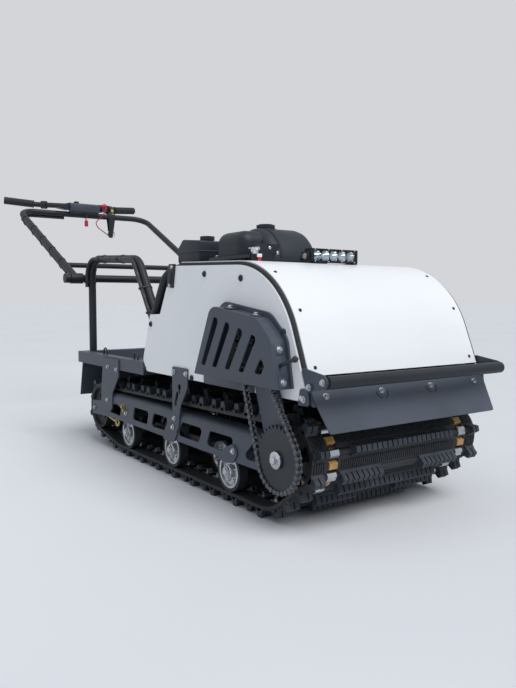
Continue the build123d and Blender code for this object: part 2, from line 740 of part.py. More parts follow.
PLATE_X = TANK_X[1] + 48
PLATE_Y = (-191, -121)
PLATE_FOOT_Y = (-195, -143)
PLATE_H = 42
LOCK_R = 11
LOCK_LENGTH = 16
with BuildPart() as switch_plate:
    with BuildSketch(Plane.YZ.offset(PLATE_X)):
        add(rounded_face([
            (PLATE_FOOT_Y[0], hood_z(PLATE_X)), (PLATE_FOOT_Y[1], hood_z(PLATE_X)),
            (PLATE_Y[1], hood_z(PLATE_X) + PLATE_H), (PLATE_Y[0], hood_z(PLATE_X) + PLATE_H),
        ], 4))
    extrude(amount=SKIN)
    with Locations(Location((PLATE_X, (PLATE_Y[0] + PLATE_Y[1]) / 2, hood_z(PLATE_X) + PLATE_H - 16), (0, -90, 0))):
        Cylinder(LOCK_R, LOCK_LENGTH, align=(Align.CENTER, Align.CENTER, Align.MIN))

LIGHT_X = PLATE_X + 39
LIGHT_HALF = 73
LIGHT_DEPTH = 44
LIGHT_H = 32
LIGHT_FOOT = 1
LIGHT_ROUND = 5
LENS_SIDE = 8
LENS_EDGE = 4
LENS_RECESS = 4
EAR = 3
EAR_HALF = 20
EAR_TOP = 24
LIGHT_Z = hood_z(LIGHT_X - LIGHT_DEPTH / 2) + LIGHT_FOOT
LIGHT_FRONT = LIGHT_X + LIGHT_DEPTH / 2
lens_y = (LENS_SIDE - LIGHT_HALF, LIGHT_HALF - LENS_SIDE)
lens_z = (LIGHT_Z + LENS_EDGE, LIGHT_Z + LIGHT_H - LENS_EDGE)
with BuildPart() as light_bar:
    block((LIGHT_FRONT - LIGHT_DEPTH, LIGHT_FRONT), (-LIGHT_HALF, LIGHT_HALF), (LIGHT_Z, LIGHT_Z + LIGHT_H))
    fillet(light_bar.edges().filter_by(Axis.Y), LIGHT_ROUND)
    block((LIGHT_FRONT - LENS_RECESS, LIGHT_FRONT), lens_y, lens_z, mode=Mode.SUBTRACT)
    for side in (-1, 1):
        with BuildSketch(Plane.XZ.offset(side * LIGHT_HALF - (EAR if side < 0 else 0))):
            add(rounded_face([
                (LIGHT_X - EAR_HALF, hood_z(LIGHT_X - EAR_HALF)),
                (LIGHT_X + EAR_HALF, hood_z(LIGHT_X + EAR_HALF)),
                (LIGHT_X + EAR_HALF - 8, LIGHT_Z + EAR_TOP), (LIGHT_X - EAR_HALF + 8, LIGHT_Z + EAR_TOP),
            ], [0.5, 0.5, 8, 8]))
        extrude(amount=EAR)

with BuildPart() as light_lens:
    block((LIGHT_FRONT - LENS_RECESS, LIGHT_FRONT - LENS_RECESS / 4), lens_y, lens_z)

# Chain drive: sprocket on the drive axle, pinion above it, and a chain of whole links round both
CHAIN_R = CHAIN_PITCH / (2 * sin(pi / CHAIN_TEETH))
PINION_R = CHAIN_PITCH / (2 * sin(pi / PINION_TEETH))


def chain_circles(span):
    lean = radians(CHAIN_LEAN)
    return [
        (DRIVE_X, DRIVE_Z, CHAIN_R),
        (DRIVE_X + span * cos(lean), DRIVE_Z + span * sin(lean), PINION_R),
    ]


CHAIN_SPAN = solve(lambda span: loop_length(chain_circles(span)), CHAIN_LINKS * CHAIN_PITCH,
                   CHAIN_R + PINION_R, CHAIN_LINKS * CHAIN_PITCH)
CHAIN = chain_circles(CHAIN_SPAN)
PINION_X, PINION_Z = CHAIN[1][:2]
PLATE_T = 3
OUTER_T = 1.6
PLATE_CUT = 3


def outer_plates():
    """A link plate with cut corners over every second link of the chain."""
    half = CHAIN_PITCH / 2 + CHAIN_PLATE
    with BuildSketch() as plates:
        for link in range(0, CHAIN_LINKS, 2):
            x, z, heading = loop_place(CHAIN, (link + 0.5) * CHAIN_PITCH)
            with Locations(Location((x, z, 0), (0, 0, degrees(heading)))):
                Polygon(
                    (-half, -CHAIN_PLATE + PLATE_CUT), (-half + PLATE_CUT, -CHAIN_PLATE),
                    (half - PLATE_CUT, -CHAIN_PLATE), (half, -CHAIN_PLATE + PLATE_CUT),
                    (half, CHAIN_PLATE - PLATE_CUT), (half - PLATE_CUT, CHAIN_PLATE),
                    (-half + PLATE_CUT, CHAIN_PLATE), (-half, CHAIN_PLATE - PLATE_CUT),
                    align=None,
                )
    return plates.sketch


with BuildPart() as chain_loop:
    for start, depth, reach in (
        (CHAIN_Y - CHAIN_WIDTH / 2 + OUTER_T, PLATE_T - OUTER_T, ROLLER_R),
        (CHAIN_Y - CHAIN_WIDTH / 2 + PLATE_T, CHAIN_WIDTH - 2 * PLATE_T, ROLLER_R / 2),
        (CHAIN_Y + CHAIN_WIDTH / 2 - PLATE_T, PLATE_T - OUTER_T, ROLLER_R),
    ):
        with BuildSketch(Plane.XZ.offset(start)):
            add(loop_face(CHAIN, reach))
            add(loop_face(CHAIN, -reach), mode=Mode.SUBTRACT)
        extrude(amount=depth)
    for start in (CHAIN_Y - CHAIN_WIDTH / 2, CHAIN_Y + CHAIN_WIDTH / 2 - OUTER_T):
        with BuildSketch(Plane.XZ.offset(start)):
            add(outer_plates())
        extrude(amount=OUTER_T)


def toothed(x, z, radius, teeth, bore):
    """A sprocket plate with plain teeth that end under the rollers."""
    root = radius - CHAIN_PLATE - GAP
    tip = radius - ROLLER_R / 2 - GAP
    with BuildSketch() as face:
        with Locations((x, z)):
            Circle(root)
            with PolarLocations(root - 1, teeth):
                Trapezoid(tip - root + 2, tip - root + 1, 70, rotation=-90,
                          align=(Align.CENTER, Align.MIN))
            Circle(bore, mode=Mode.SUBTRACT)
    return face.sketch


SPROCKET_T = CHAIN_WIDTH - 2 * PLATE_T - 1
with BuildPart() as chain_sprocket:
    with BuildSketch(Plane.XZ.offset(CHAIN_Y - SPROCKET_T / 2)):
        add(toothed(DRIVE_X, DRIVE_Z, CHAIN_R, CHAIN_TEETH, DRIVE_AXLE_R))
    extrude(amount=SPROCKET_T)

PINION_SHAFT_R = 10
with BuildPart() as drive_pinion:
    with BuildSketch(Plane.XZ.offset(CHAIN_Y - SPROCKET_T / 2)):
        add(toothed(PINION_X, PINION_Z, PINION_R, PINION_TEETH, PINION_SHAFT_R / 2))
    extrude(amount=SPROCKET_T)
    with Locations((PINION_X, -(SIDE_Y + CHAIN_Y + SPROCKET_T) / 2, PINION_Z)):
        across(PINION_SHAFT_R, (CHAIN_Y + SPROCKET_T - SIDE_Y) / 2)

# Chain cover: a folded box on a flange, open to the panel and below, with slots through its face.
# Outline: distance ahead of the drive axle, height and bend radius. Slots: head and foot.
COVER_EDGE = (
    (-290, 305, 2), (-216, 446, 12), (-170, 463, 14), (-38, 436, 26), (14, 384, 24), (32, 300, 2),
)
COVER_OUTLINE = [(DRIVE_X + ahead, z) for ahead, z, bend in COVER_EDGE]
COVER_BENDS = [bend for ahead, z, bend in COVER_EDGE]
COVER_SLOTS = (
    ((-188, 439), (-246, 330)), ((-138, 429), (-200, 329)),
    ((-91, 417), (-145, 327)), ((-43, 406), (-89, 326)),
)
COVER_CORNER = [(DRIVE_X - 44, 327), (DRIVE_X - 14, 327), (DRIVE_X - 18, 364)]
SLOT_WIDTH = 15
FLANGE = 4
FLANGE_REACH = 11
COVER_MOUTH = 15


def cover_face(grow):
    with BuildSketch() as face:
        add(rounded_face(COVER_OUTLINE, COVER_BENDS))
        offset(amount=grow)
    return face.sketch


with BuildPart() as chain_cover:
    with BuildSketch(Plane.XZ.offset(SIDE_Y)):
        add(rounded_face(COVER_OUTLINE, COVER_BENDS))
    extrude(amount=COVER_Y - SIDE_Y)
    with BuildSketch(Plane.XZ.offset(SIDE_Y)):
        add(cover_face(FLANGE_REACH))
        with Locations((DRIVE_X, COVER_OUTLINE[-1][1] - 2 * FLANGE_REACH)):
            Rectangle(4 * DRIVE_X, 4 * FLANGE_REACH, mode=Mode.SUBTRACT)
    extrude(amount=FLANGE)
    with BuildSketch(Plane.XZ.offset(SIDE_Y)):
        add(cover_face(-SKIN))
        with Locations(((COVER_OUTLINE[0][0] + COVER_OUTLINE[-1][0]) / 2, COVER_OUTLINE[0][1] - SKIN)):
            Rectangle(COVER_OUTLINE[-1][0] - COVER_OUTLINE[0][0] - 2 * COVER_MOUTH, 2 * COVER_MOUTH)
    extrude(amount=COVER_Y - SIDE_Y - SKIN, mode=Mode.SUBTRACT)
    with BuildSketch(Plane.XZ.offset(COVER_Y)):
        for (hx, hz), (fx, fz) in COVER_SLOTS:
            with Locations((DRIVE_X + (hx + fx) / 2, (hz + fz) / 2)):
                SlotOverall(hypot(hx - fx, hz - fz), SLOT_WIDTH, rotation=degrees(atan2(hz - fz, hx - fx)))
        add(rounded_face(COVER_CORNER, SKIN))
    extrude(amount=-SKIN, mode=Mode.SUBTRACT)

# Bumper
BUMPER_X = DRIVE_X + 124
BUMPER_Z = 321
BUMPER_HALF = INNER_Y
with BuildPart() as bumper_tube:
    with Locations((BUMPER_X, 0, BUMPER_Z)):
        across(TUBE_R, BUMPER_HALF)

with BuildPart() as bumper_brackets:
    with BuildSketch(Plane.XZ.offset(BUMPER_HALF)):
        add(rounded_face([
            (BUMPER_X - 56, BUMPER_Z - 23), (BUMPER_X - 6, BUMPER_Z - TUBE_R - 1.5),
            (BUMPER_X + 14, BUMPER_Z),
            (BUMPER_X - 6, BUMPER_Z + TUBE_R + 1.5), (BUMPER_X - 72, BUMPER_Z + 24),
        ], [2, 8, 12, 8, 4]))
    extrude(amount=SHEET)
    mirror(about=Plane.XZ)

# Rack behind the body, with its rear flap and tow hitch
with BuildPart() as rack_frame:
    block((RACK_REAR, TUB_REAR), (-SIDE_Y, SIDE_Y), (RACK_Z, RACK_Z + RACK_H))
    block((RACK_REAR + RACK_BEAM, TUB_REAR - RACK_BEAM), (-SIDE_Y + RACK_BEAM, SIDE_Y - RACK_BEAM),
          (RACK_Z + SKIN, RACK_Z + RACK_H), mode=Mode.SUBTRACT)

FLAP_REAR_FOOT = 146
with BuildPart() as rear_flap:
    with BuildSketch(Plane.XZ.offset(-TRACK_WIDTH / 2)):
        add(sheet_face([
            (RACK_REAR - SKIN / 2, RACK_Z + RACK_H), (RACK_REAR - SKIN / 2, RACK_Z),
            (RACK_REAR - 30, FLAP_REAR_FOOT),
        ], 20, SKIN))
    extrude(amount=TRACK_WIDTH)

HITCH_R = 8.5
HITCH_T = 10
HITCH_Z = RACK_Z + RACK_H / 2
HITCH_X = RACK_REAR - SKIN
HITCH_HALF = 45
HITCH_PLATE = 6
TONGUE = 62
TONGUE_HALF = 40
TONGUE_TIP = 20
with BuildPart() as tow_hitch:
    block((HITCH_X - HITCH_PLATE, HITCH_X), (-HITCH_HALF, HITCH_HALF), (RACK_Z + 8, RACK_Z + RACK_H))
    with BuildSketch(Plane.XY.offset(HITCH_Z - HITCH_T / 2)):
        add(rounded_face([
            (HITCH_X - 1, -TONGUE_HALF), (HITCH_X - 1, TONGUE_HALF),
            (HITCH_X - TONGUE, TONGUE_TIP), (HITCH_X - TONGUE, -TONGUE_TIP),
        ], [1, 1, TONGUE_TIP - 2, TONGUE_TIP - 2]))
        with Locations((HITCH_X - TONGUE + TONGUE_TIP, 0)):
            Circle(HITCH_R, mode=Mode.SUBTRACT)
    extrude(amount=HITCH_T)

# Rear hoops and the pivot tube behind their posts
hoop_line = [
    (POST_X, RACK_Z + RACK_H), (POST_X, HOOP_TOP_Z),
    (HOOP_TOP_FRONT_X, HOOP_TOP_FRONT_Z), (HOOP_FOOT_X, TUB_Z + SHEET),
]
HOOP_BENDS = [HOOP_REAR_BEND, HOOP_FRONT_BEND]
with BuildPart() as rear_hoops:
    for side in (-1, 1):
        add(bent_tube([(x, side * HOOP_Y, z) for x, z in hoop_line], HOOP_BENDS, TUBE_R))
    block((HOOP_FOOT_X - 40, HOOP_FOOT_X + 40), (-SIDE_Y, SIDE_Y), (TUB_Z - 40, TUB_Z + SHEET),
          mode=Mode.SUBTRACT)

PIVOT_X = POST_X - TUBE_R - PIVOT_R - GAP
with BuildPart() as pivot_tube:
    with Locations((PIVOT_X, 0, PIVOT_Z)):
        across(PIVOT_R, PIVOT_HALF)
    for side in (-1, 1):
        with Locations((PIVOT_X, side * (PIVOT_HALF - PIVOT_END / 2), PIVOT_Z)):
            across(SLEEVE_R - 2, PIVOT_END / 2)

# Steering bow: sleeves on the pivot tube, bent legs, and a brace between the legs
BOW_FOOT = (PIVOT_X, BOW_FOOT_Y, PIVOT_Z)
BOW_CORNER = (BOW_TOP_X, BOW_TOP_Y, BOW_TOP_Z)


def on_leg(share, side):
    """A point on a leg's axis, by its share of the way up."""
    return tuple(foot + share * (corner - foot) if i != 1 else side * (foot + share * (corner - foot))
                 for i, (foot, corner) in enumerate(zip(BOW_FOOT, BOW_CORNER)))


with BuildPart() as steering_bow:
    add(bent_tube([on_leg(0, -1), on_leg(1, -1), on_leg(1, 1), on_leg(0, 1)], BOW_BEND, BOW_R))
    for side in (-1, 1):
        with Locations((PIVOT_X, side * (SLEEVE_FROM + SLEEVE_TO) / 2, PIVOT_Z)):
            across(SLEEVE_R, (SLEEVE_TO - SLEEVE_FROM) / 2)
    with Locations((PIVOT_X, 0, PIVOT_Z)):
        across(PIVOT_R + RUNNING, PIVOT_HALF, mode=Mode.SUBTRACT)
    brace = on_leg(BRACE_SHARE, 1)
    with Locations((brace[0], 0, brace[2])):
        across(BRACE_R, brace[1])

# Handlebar on two saddles
BAR_MID_X = BOW_TOP_X - 20
BAR_MID_Z = BOW_TOP_Z + 38
BAR_BEND = (BAR_MID_X, 62, BAR_MID_Z)
GRIP_FROM = (BOW_TOP_X - 115, 172, BOW_TOP_Z + 47)
GRIP_TO = (BOW_TOP_X - 157, 297, BOW_TOP_Z + 59)
BAR_ROUND = 40
GRIP_END = 4
GRIP_COLLAR = 8
GRIP_COLLAR_R = 20
SADDLE_Y = (34, 58)


def on_side(point, side):
    return (point[0], side * point[1], point[2])


with BuildPart() as handlebar:
    for side in (-1, 1):
        block((BOW_TOP_X - 34, BOW_TOP_X + 10), sorted((side * SADDLE_Y[0], side * SADDLE_Y[1])),
              (BOW_TOP_Z, BAR_MID_Z))
    with Locations((BOW_TOP_X, 0, BOW_TOP_Z)):
        across(BOW_R + RUNNING, SADDLE_Y[1] + 10, mode=Mode.SUBTRACT)
    add(bent_tube([
        on_side(GRIP_TO, -1), on_side(GRIP_FROM, -1), on_side(BAR_BEND, -1),
        BAR_BEND, GRIP_FROM, GRIP_TO,
    ], BAR_ROUND, BAR_R))

grip_full = (Vector(*GRIP_TO) - Vector(*GRIP_FROM)).length
with BuildPart() as grips:
    for side in (-1, 1):
        ends = (on_side(GRIP_FROM, side), on_side(GRIP_TO, side))
        grip_start = grip_full + GRIP_END - GRIP_LENGTH
        add(sleeve_on(*ends, grip_start, grip_full, BAR_R, GRIP_R))
        add(sleeve_on(*ends, grip_start, grip_start + GRIP_COLLAR, BAR_R, GRIP_COLLAR_R))
        add(sleeve_on(*ends, grip_full, grip_full + GRIP_END, 0, GRIP_R))

DASH_Y = (-76, 56)
DASH_T = 2.5
dash_line = [
    (BOW_TOP_X + BOW_R + DASH_T / 2, BOW_TOP_Z), (BOW_TOP_X + 38, BOW_TOP_Z + 18),
    (BOW_TOP_X + 34, BAR_MID_Z + BAR_R + 6), (BAR_MID_X - 14, BAR_MID_Z + BAR_R + 12),
]
with BuildPart() as dash_box:
    with BuildSketch(Plane.XZ.offset(-DASH_Y[1])):
        add(sheet_face(dash_line, 5, DASH_T))
    extrude(amount=DASH_Y[1] - DASH_Y[0])
    with Locations((BAR_MID_X + 22, -16, BAR_MID_Z + BAR_R + 13)):
        Cylinder(8, 8)

with BuildPart() as control_switches:
    left = (BAR_BEND, GRIP_FROM)
    add(sleeve_on(*left, 96, 134, BAR_R + RUNNING, 19))
    right = (on_side(BAR_BEND, -1), on_side(GRIP_FROM, -1))
    add(sleeve_on(*right, 104, 126, BAR_R + RUNNING, 17))

CAP_FROM = BAR_MID_X + 8
CAP_TO = CAP_FROM + 25
CAP_Y = BAR_BEND[1] + 25
CAP_Z = BAR_MID_Z + 6
KILL_CAP_R = 9
with BuildPart() as kill_switch:
    add(sleeve_on(*left, 20, 44, BAR_R + RUNNING, 17))
    block((CAP_FROM - 9, CAP_FROM), (CAP_Y - 7, CAP_Y + 7), (CAP_Z - 8, CAP_Z + 8))

with BuildPart() as kill_cap:
    with BuildSketch(Plane(origin=(CAP_FROM, CAP_Y, CAP_Z), z_dir=(1, 0, 0))):
        Circle(KILL_CAP_R)
    extrude(amount=CAP_TO - CAP_FROM)

# Wrist strap over the bow's cross bar, with a ring in its lower loop and the lanyard tied to the ring
STRAP = 2
STRAP_Y = (108, 132)
STRAP_FOOT_R = 5.5
STRAP_DROP = 61
STRAP_LINE = [
    (BOW_TOP_X, BOW_TOP_Z - STRAP_DROP, STRAP_FOOT_R),
    (BOW_TOP_X, BOW_TOP_Z, BOW_R + GAP + STRAP / 2),
]
with BuildPart() as wrist_strap:
    with BuildSketch(Plane.XZ.offset(-STRAP_Y[1])):
        add(loop_face(STRAP_LINE, STRAP / 2))
        add(loop_face(STRAP_LINE, -STRAP / 2), mode=Mode.SUBTRACT)
    extrude(amount=STRAP_Y[1] - STRAP_Y[0])

RING_WIRE = 4
RING_H = 28
RING_TOP = BOW_TOP_Z - STRAP_DROP
with BuildPart() as snap_ring:
    middle = (STRAP_Y[0] + STRAP_Y[1]) / 2
    half = (STRAP_Y[1] - STRAP_Y[0]) / 2 + 1
    x_side = (BOW_TOP_X - RING_WIRE / 2, BOW_TOP_X + RING_WIRE / 2)
    block(x_side, (middle - half - RING_WIRE, middle + half + RING_WIRE), (RING_TOP - RING_H, RING_TOP))
    block(x_side, (middle - half, middle + half),
          (RING_TOP - RING_H + RING_WIRE, RING_TOP - RING_WIRE), mode=Mode.SUBTRACT)

LANYARD_R = 2
LANYARD_ROUTE = [
    (-873, 87, 890), (-846, 84, 886), (-838, 72, 858), (-842, 52, 832), (-850, 34, 816),
    (-856, 44, 796), (-863, 68, 782), (-873, 90, 772), (-884, 104, 766),
]


def cord_bends(route):
    """The radius at each corner of a cord: as large as its two runs allow."""
    points = [Vector(*point) for point in route]
    found = []
    for before, corner, after in zip(points, points[1:], points[2:]):
        turn = (corner - before).get_angle(after - corner)
        run = min((corner - before).length, (after - corner).length)
        found.append(0.45 * run / tan(radians(turn / 2)))
    return found


with BuildPart() as lanyard:
    add(bent_tube(LANYARD_ROUTE, cord_bends(LANYARD_ROUTE), LANYARD_R))
print("lanyard bend radii", [round(radius, 1) for radius in cord_bends(LANYARD_ROUTE)])

# Cable harness: under the right leg of the bow, then along the right hoop and in to the engine
leg_way = (Vector(*on_leg(1, -1)) - Vector(*on_leg(0, -1))).normalized()
under = Vector(-leg_way.Z, 0, leg_way.X).normalized() * (BOW_R + HARNESS_R + GAP)
HARNESS_FROM = 0.14
HARNESS_END_Y = -92
with BuildPart() as bow_harness:
    line = [on_leg(HARNESS_FROM, -1), on_leg(1, -1), (BOW_TOP_X, HARNESS_END_Y, BOW_TOP_Z)]
    add(bent_tube([Vector(*point) + under for point in line], BOW_BEND, HARNESS_R))

HARNESS_Y = -(HOOP_Y + TUBE_R + HARNESS_R + GAP)
HARNESS_SHARE = 0.586
HARNESS_IN_Z = 400
harness_turn = [top + HARNESS_SHARE * (foot - top) for top, foot in (
    (HOOP_TOP_FRONT_X, HOOP_FOOT_X), (HOOP_TOP_FRONT_Z, TUB_Z + SHEET))]
with BuildPart() as frame_harness:
    add(bent_tube([
        (POST_X, HARNESS_Y, 520), (POST_X, HARNESS_Y, HOOP_TOP_Z),
        (HOOP_TOP_FRONT_X, HARNESS_Y, HOOP_TOP_FRONT_Z),
        (harness_turn[0], HARNESS_Y, harness_turn[1]),
        (harness_turn[0] + 75, HARNESS_Y + 47, HARNESS_IN_Z - 8),
        (ENGINE_REAR - 68, HARNESS_Y + 87, HARNESS_IN_Z), (ENGINE_REAR - GAP, HARNESS_Y + 87, HARNESS_IN_Z),
    ], [HOOP_REAR_BEND, HOOP_FRONT_BEND, 30, 40, 30], HARNESS_R))

PIECES = {
    "track_belt": track_belt, "drive_axle": drive_axle, "drive_sprockets": drive_sprockets,
    "drive_carriers": drive_carriers, "idler_axle": idler_axle, "idler_wheels": idler_wheels,
    "road_axles": road_axles, "road_wheel_rims": road_wheel_rims, "road_wheel_tyres": road_wheel_tyres,
    "wheel_arms": wheel_arms, "rail_right": rail_right, "rail_left": rail_left,
    "rail_cross_tubes": rail_cross_tubes, "mid_hangers": mid_hangers, "rear_hangers": rear_hangers,
    "body_tub": body_tub, "front_flap": front_flap, "hood_sheet": hood_sheet, "hood_trims": hood_trims,
    "side_panel_right": side_panel_right, "side_panel_left": side_panel_left, "body_hoop": body_hoop,
    "engine_block": engine_block, "fuel_tank": fuel_tank, "fuel_cap": fuel_cap, "air_filter": air_filter,
    "switch_plate": switch_plate, "light_bar": light_bar, "light_lens": light_lens,
    "chain_loop": chain_loop, "chain_sprocket": chain_sprocket, "drive_pinion": drive_pinion,
    "chain_cover": chain_cover, "bumper_tube": bumper_tube, "bumper_brackets": bumper_brackets,
    "rack_frame": rack_frame, "rear_flap": rear_flap, "tow_hitch": tow_hitch, "rear_hoops": rear_hoops,
    "pivot_tube": pivot_tube, "steering_bow": steering_bow, "handlebar": handlebar, "grips": grips,
    "dash_box": dash_box, "control_switches": control_switches, "kill_switch": kill_switch,
    "kill_cap": kill_cap, "wrist_strap": wrist_strap, "snap_ring": snap_ring, "lanyard": lanyard,
    "bow_harness": bow_harness, "frame_harness": frame_harness,
}
os.makedirs("parts", exist_ok=True)
for name, piece in PIECES.items():
    piece.part.label = name
    export_step(piece.part, f"parts/{name}.step")
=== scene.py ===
# %% [markdown]
# A tracked snow tug: a short rubber track under a white engine hood, a load rack behind it and a bow
# with a handlebar to steer it by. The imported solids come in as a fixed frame, in metres, and each
# cell below dresses a piece of them or adds what the solids leave out.

# %% Load the frame
from math import asin, atan2, cos, hypot, pi, radians, sin, tan, tau

import bmesh
import bpy
from mathutils import Matrix, Vector


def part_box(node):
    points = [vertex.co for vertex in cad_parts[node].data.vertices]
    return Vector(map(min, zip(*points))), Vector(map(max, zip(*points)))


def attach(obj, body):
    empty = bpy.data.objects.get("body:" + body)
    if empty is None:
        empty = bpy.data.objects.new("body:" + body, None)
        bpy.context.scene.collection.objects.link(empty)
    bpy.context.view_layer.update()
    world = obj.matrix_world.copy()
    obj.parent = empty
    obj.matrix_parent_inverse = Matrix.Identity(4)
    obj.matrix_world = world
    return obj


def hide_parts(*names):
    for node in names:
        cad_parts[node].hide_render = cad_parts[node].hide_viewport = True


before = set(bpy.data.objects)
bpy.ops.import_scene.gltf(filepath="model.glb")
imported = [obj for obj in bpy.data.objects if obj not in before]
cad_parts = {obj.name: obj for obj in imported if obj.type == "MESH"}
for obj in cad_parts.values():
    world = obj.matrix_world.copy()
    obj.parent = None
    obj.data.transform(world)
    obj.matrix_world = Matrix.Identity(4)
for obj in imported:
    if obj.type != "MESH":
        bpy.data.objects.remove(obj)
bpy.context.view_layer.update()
MM = 0.001


def shown(name, data):
    """An object with its data, linked to the scene."""
    made = bpy.data.objects.new(name, data)
    bpy.context.scene.collection.objects.link(made)
    return made


# %% [markdown]
# The camera comes first. The photograph was taken from the front right, a little above the hood, with
# a lens whose focal length is about as long as the picture is tall.

# %% Camera
PHOTO_W, PHOTO_H = 516, 688
FOCAL_PX = 666
CAMERA_AT = Vector((1968.5, -1071.7, 474.6)) * MM
CAMERA_AZIMUTH, CAMERA_PITCH = radians(55), radians(3.75)

camera = shown("camera", bpy.data.cameras.new("camera"))
camera.data.sensor_width = 36
camera.data.lens = FOCAL_PX * camera.data.sensor_width / max(PHOTO_W, PHOTO_H)
back = Vector((sin(CAMERA_AZIMUTH) * cos(CAMERA_PITCH), -cos(CAMERA_AZIMUTH) * cos(CAMERA_PITCH),
               sin(CAMERA_PITCH)))
camera.location = CAMERA_AT
camera.rotation_mode = "QUATERNION"
camera.rotation_quaternion = (-back).to_track_quat("-Z", "Y")
bpy.context.scene.camera = camera
bpy.context.scene.view_settings.view_transform = "Standard"
print("lens", round(camera.data.lens, 2), "mm")

# %% [markdown]
# Every finish is a node tree. One function reads colours from the hex codes a paint card gives, one adds
# a node with its settings and links, and one turns the real size of a pattern, in millimetres, into the
# scale of a texture.

# %% Tools for the finishes
def paint(code):
    """A linear colour from an sRGB hex code."""
    parts = [int(code[i:i + 2], 16) / 255 for i in (1, 3, 5)]
    return (*[c / 12.92 if c <= 0.04045 else ((c + 0.055) / 1.055) ** 2.4 for c in parts], 1)


def put(tree, kind, inputs=(), **settings):
    """Adds a node, with its settings, and its inputs as values or links."""
    made = tree.nodes.new(kind)
    for name, value in settings.items():
        setattr(made, name, value)
    for name, value in dict(inputs).items():
        if isinstance(value, bpy.types.NodeSocket):
            tree.links.new(value, made.inputs[name])
        else:
            made.inputs[name].default_value = value
    return made


def per_mm(size):
    """The texture scale at which a pattern repeats about every so many millimetres."""
    return 1 / (size * MM)


print("white enamel", [round(c, 3) for c in paint("#eff1f4")[:3]], "linear")

# %% [markdown]
# A real surface is never one colour. Two close ones lie over it in soft blotches, the gloss changes with
# them, and a fine grain breaks the highlights. Where the rounded normal differs from the plain one there
# is an edge, and there the finish is rubbed paler. Woven and ringed surfaces get ridges on top.

# %% Tools for surfaces
CLOUD_SPAN, GLOSS_SPAN, GLOSS_SWING = (0.35, 0.65), (0.3, 0.7), 0.06
# How far the eased normal agrees with the plain one where an edge begins to wear and where it is bare
RUB_SPAN = (0.99, 0.8)
# A wave texture at scale 1 draws this many ridges to the metre
WAVES = 20 / tau


def surface(name, colour, second, rough, grain, depth, metal=0.0, blotch=120, worn=None, edge=1.2, **more):
    """A finish: two close colours in blotches, uneven gloss, a fine grain, and paler worn edges."""
    material = bpy.data.materials.new(name)
    material.use_nodes = True
    tree = material.node_tree
    shader = tree.nodes["Principled BSDF"]
    place = put(tree, "ShaderNodeTexCoord").outputs["Object"]
    noise = put(tree, "ShaderNodeTexNoise", {"Vector": place, "Scale": per_mm(blotch), "Detail": 6})
    cloud = noise.outputs["Fac"]
    spread = put(tree, "ShaderNodeMapRange", {
        "Value": cloud, "From Min": CLOUD_SPAN[0], "From Max": CLOUD_SPAN[1]})
    tint = put(tree, "ShaderNodeMix", {0: spread.outputs[0], 6: paint(colour), 7: paint(second)},
               data_type="RGBA").outputs[2]
    eased = put(tree, "ShaderNodeBevel", {"Radius": edge * MM}, samples=4).outputs[0]
    if worn:
        plain = put(tree, "ShaderNodeNewGeometry").outputs["Normal"]
        agree = put(tree, "ShaderNodeVectorMath", {0: eased, 1: plain}, operation="DOT_PRODUCT")
        rub = put(tree, "ShaderNodeMapRange", {
            "Value": agree.outputs["Value"], "From Min": RUB_SPAN[0], "From Max": RUB_SPAN[1]})
        broken = put(tree, "ShaderNodeMath", {0: rub.outputs[0], 1: cloud}, operation="MULTIPLY")
        tint = put(tree, "ShaderNodeMix", {0: broken.outputs[0], 6: tint, 7: paint(worn)},
                   data_type="RGBA").outputs[2]
    gloss = put(tree, "ShaderNodeMapRange", {
        "Value": cloud, "From Min": GLOSS_SPAN[0], "From Max": GLOSS_SPAN[1],
        "To Min": rough - GLOSS_SWING, "To Max": rough + GLOSS_SWING})
    fine = put(tree, "ShaderNodeTexNoise", {"Vector": place, "Scale": per_mm(grain), "Detail": 3})
    bump = put(tree, "ShaderNodeBump", {
        "Height": fine.outputs["Fac"], "Distance": depth * MM, "Strength": 1.0, "Normal": eased})
    results = {"Base Color": tint, "Roughness": gloss.outputs[0], "Normal": bump.outputs[0]}
    for socket, result in results.items():
        tree.links.new(result, shader.inputs[socket])
    shader.inputs["Metallic"].default_value = metal
    for socket, value in more.items():
        shader.inputs[socket.replace("_", " ")].default_value = value
    return material


def relief(material, size, depth, *directions):
    """Adds ridges so many millimetres apart to a finish, one set for each direction."""
    tree = material.node_tree
    normal = tree.nodes["Principled BSDF"].inputs["Normal"]
    place = put(tree, "ShaderNodeTexCoord").outputs["Object"]
    for direction in directions:
        wave = put(tree, "ShaderNodeTexWave", {"Vector": place, "Scale": per_mm(size) / WAVES},
                   bands_direction=direction)
        bump = put(tree, "ShaderNodeBump", {
            "Height": wave.outputs["Fac"], "Distance": depth * MM, "Normal": normal.links[0].from_socket})
        tree.links.new(bump.outputs[0], normal)
    return material


print("ridges 5 mm apart need a wave scale of", round(per_mm(5) / WAVES, 1))

# %% [markdown]
# The finishes, each named for what the real surface is. Powder coat has a faint orange peel, moulded
# plastic a stipple, rubber a dull bloom with dust in it, and zinc plate a soft bright grey.

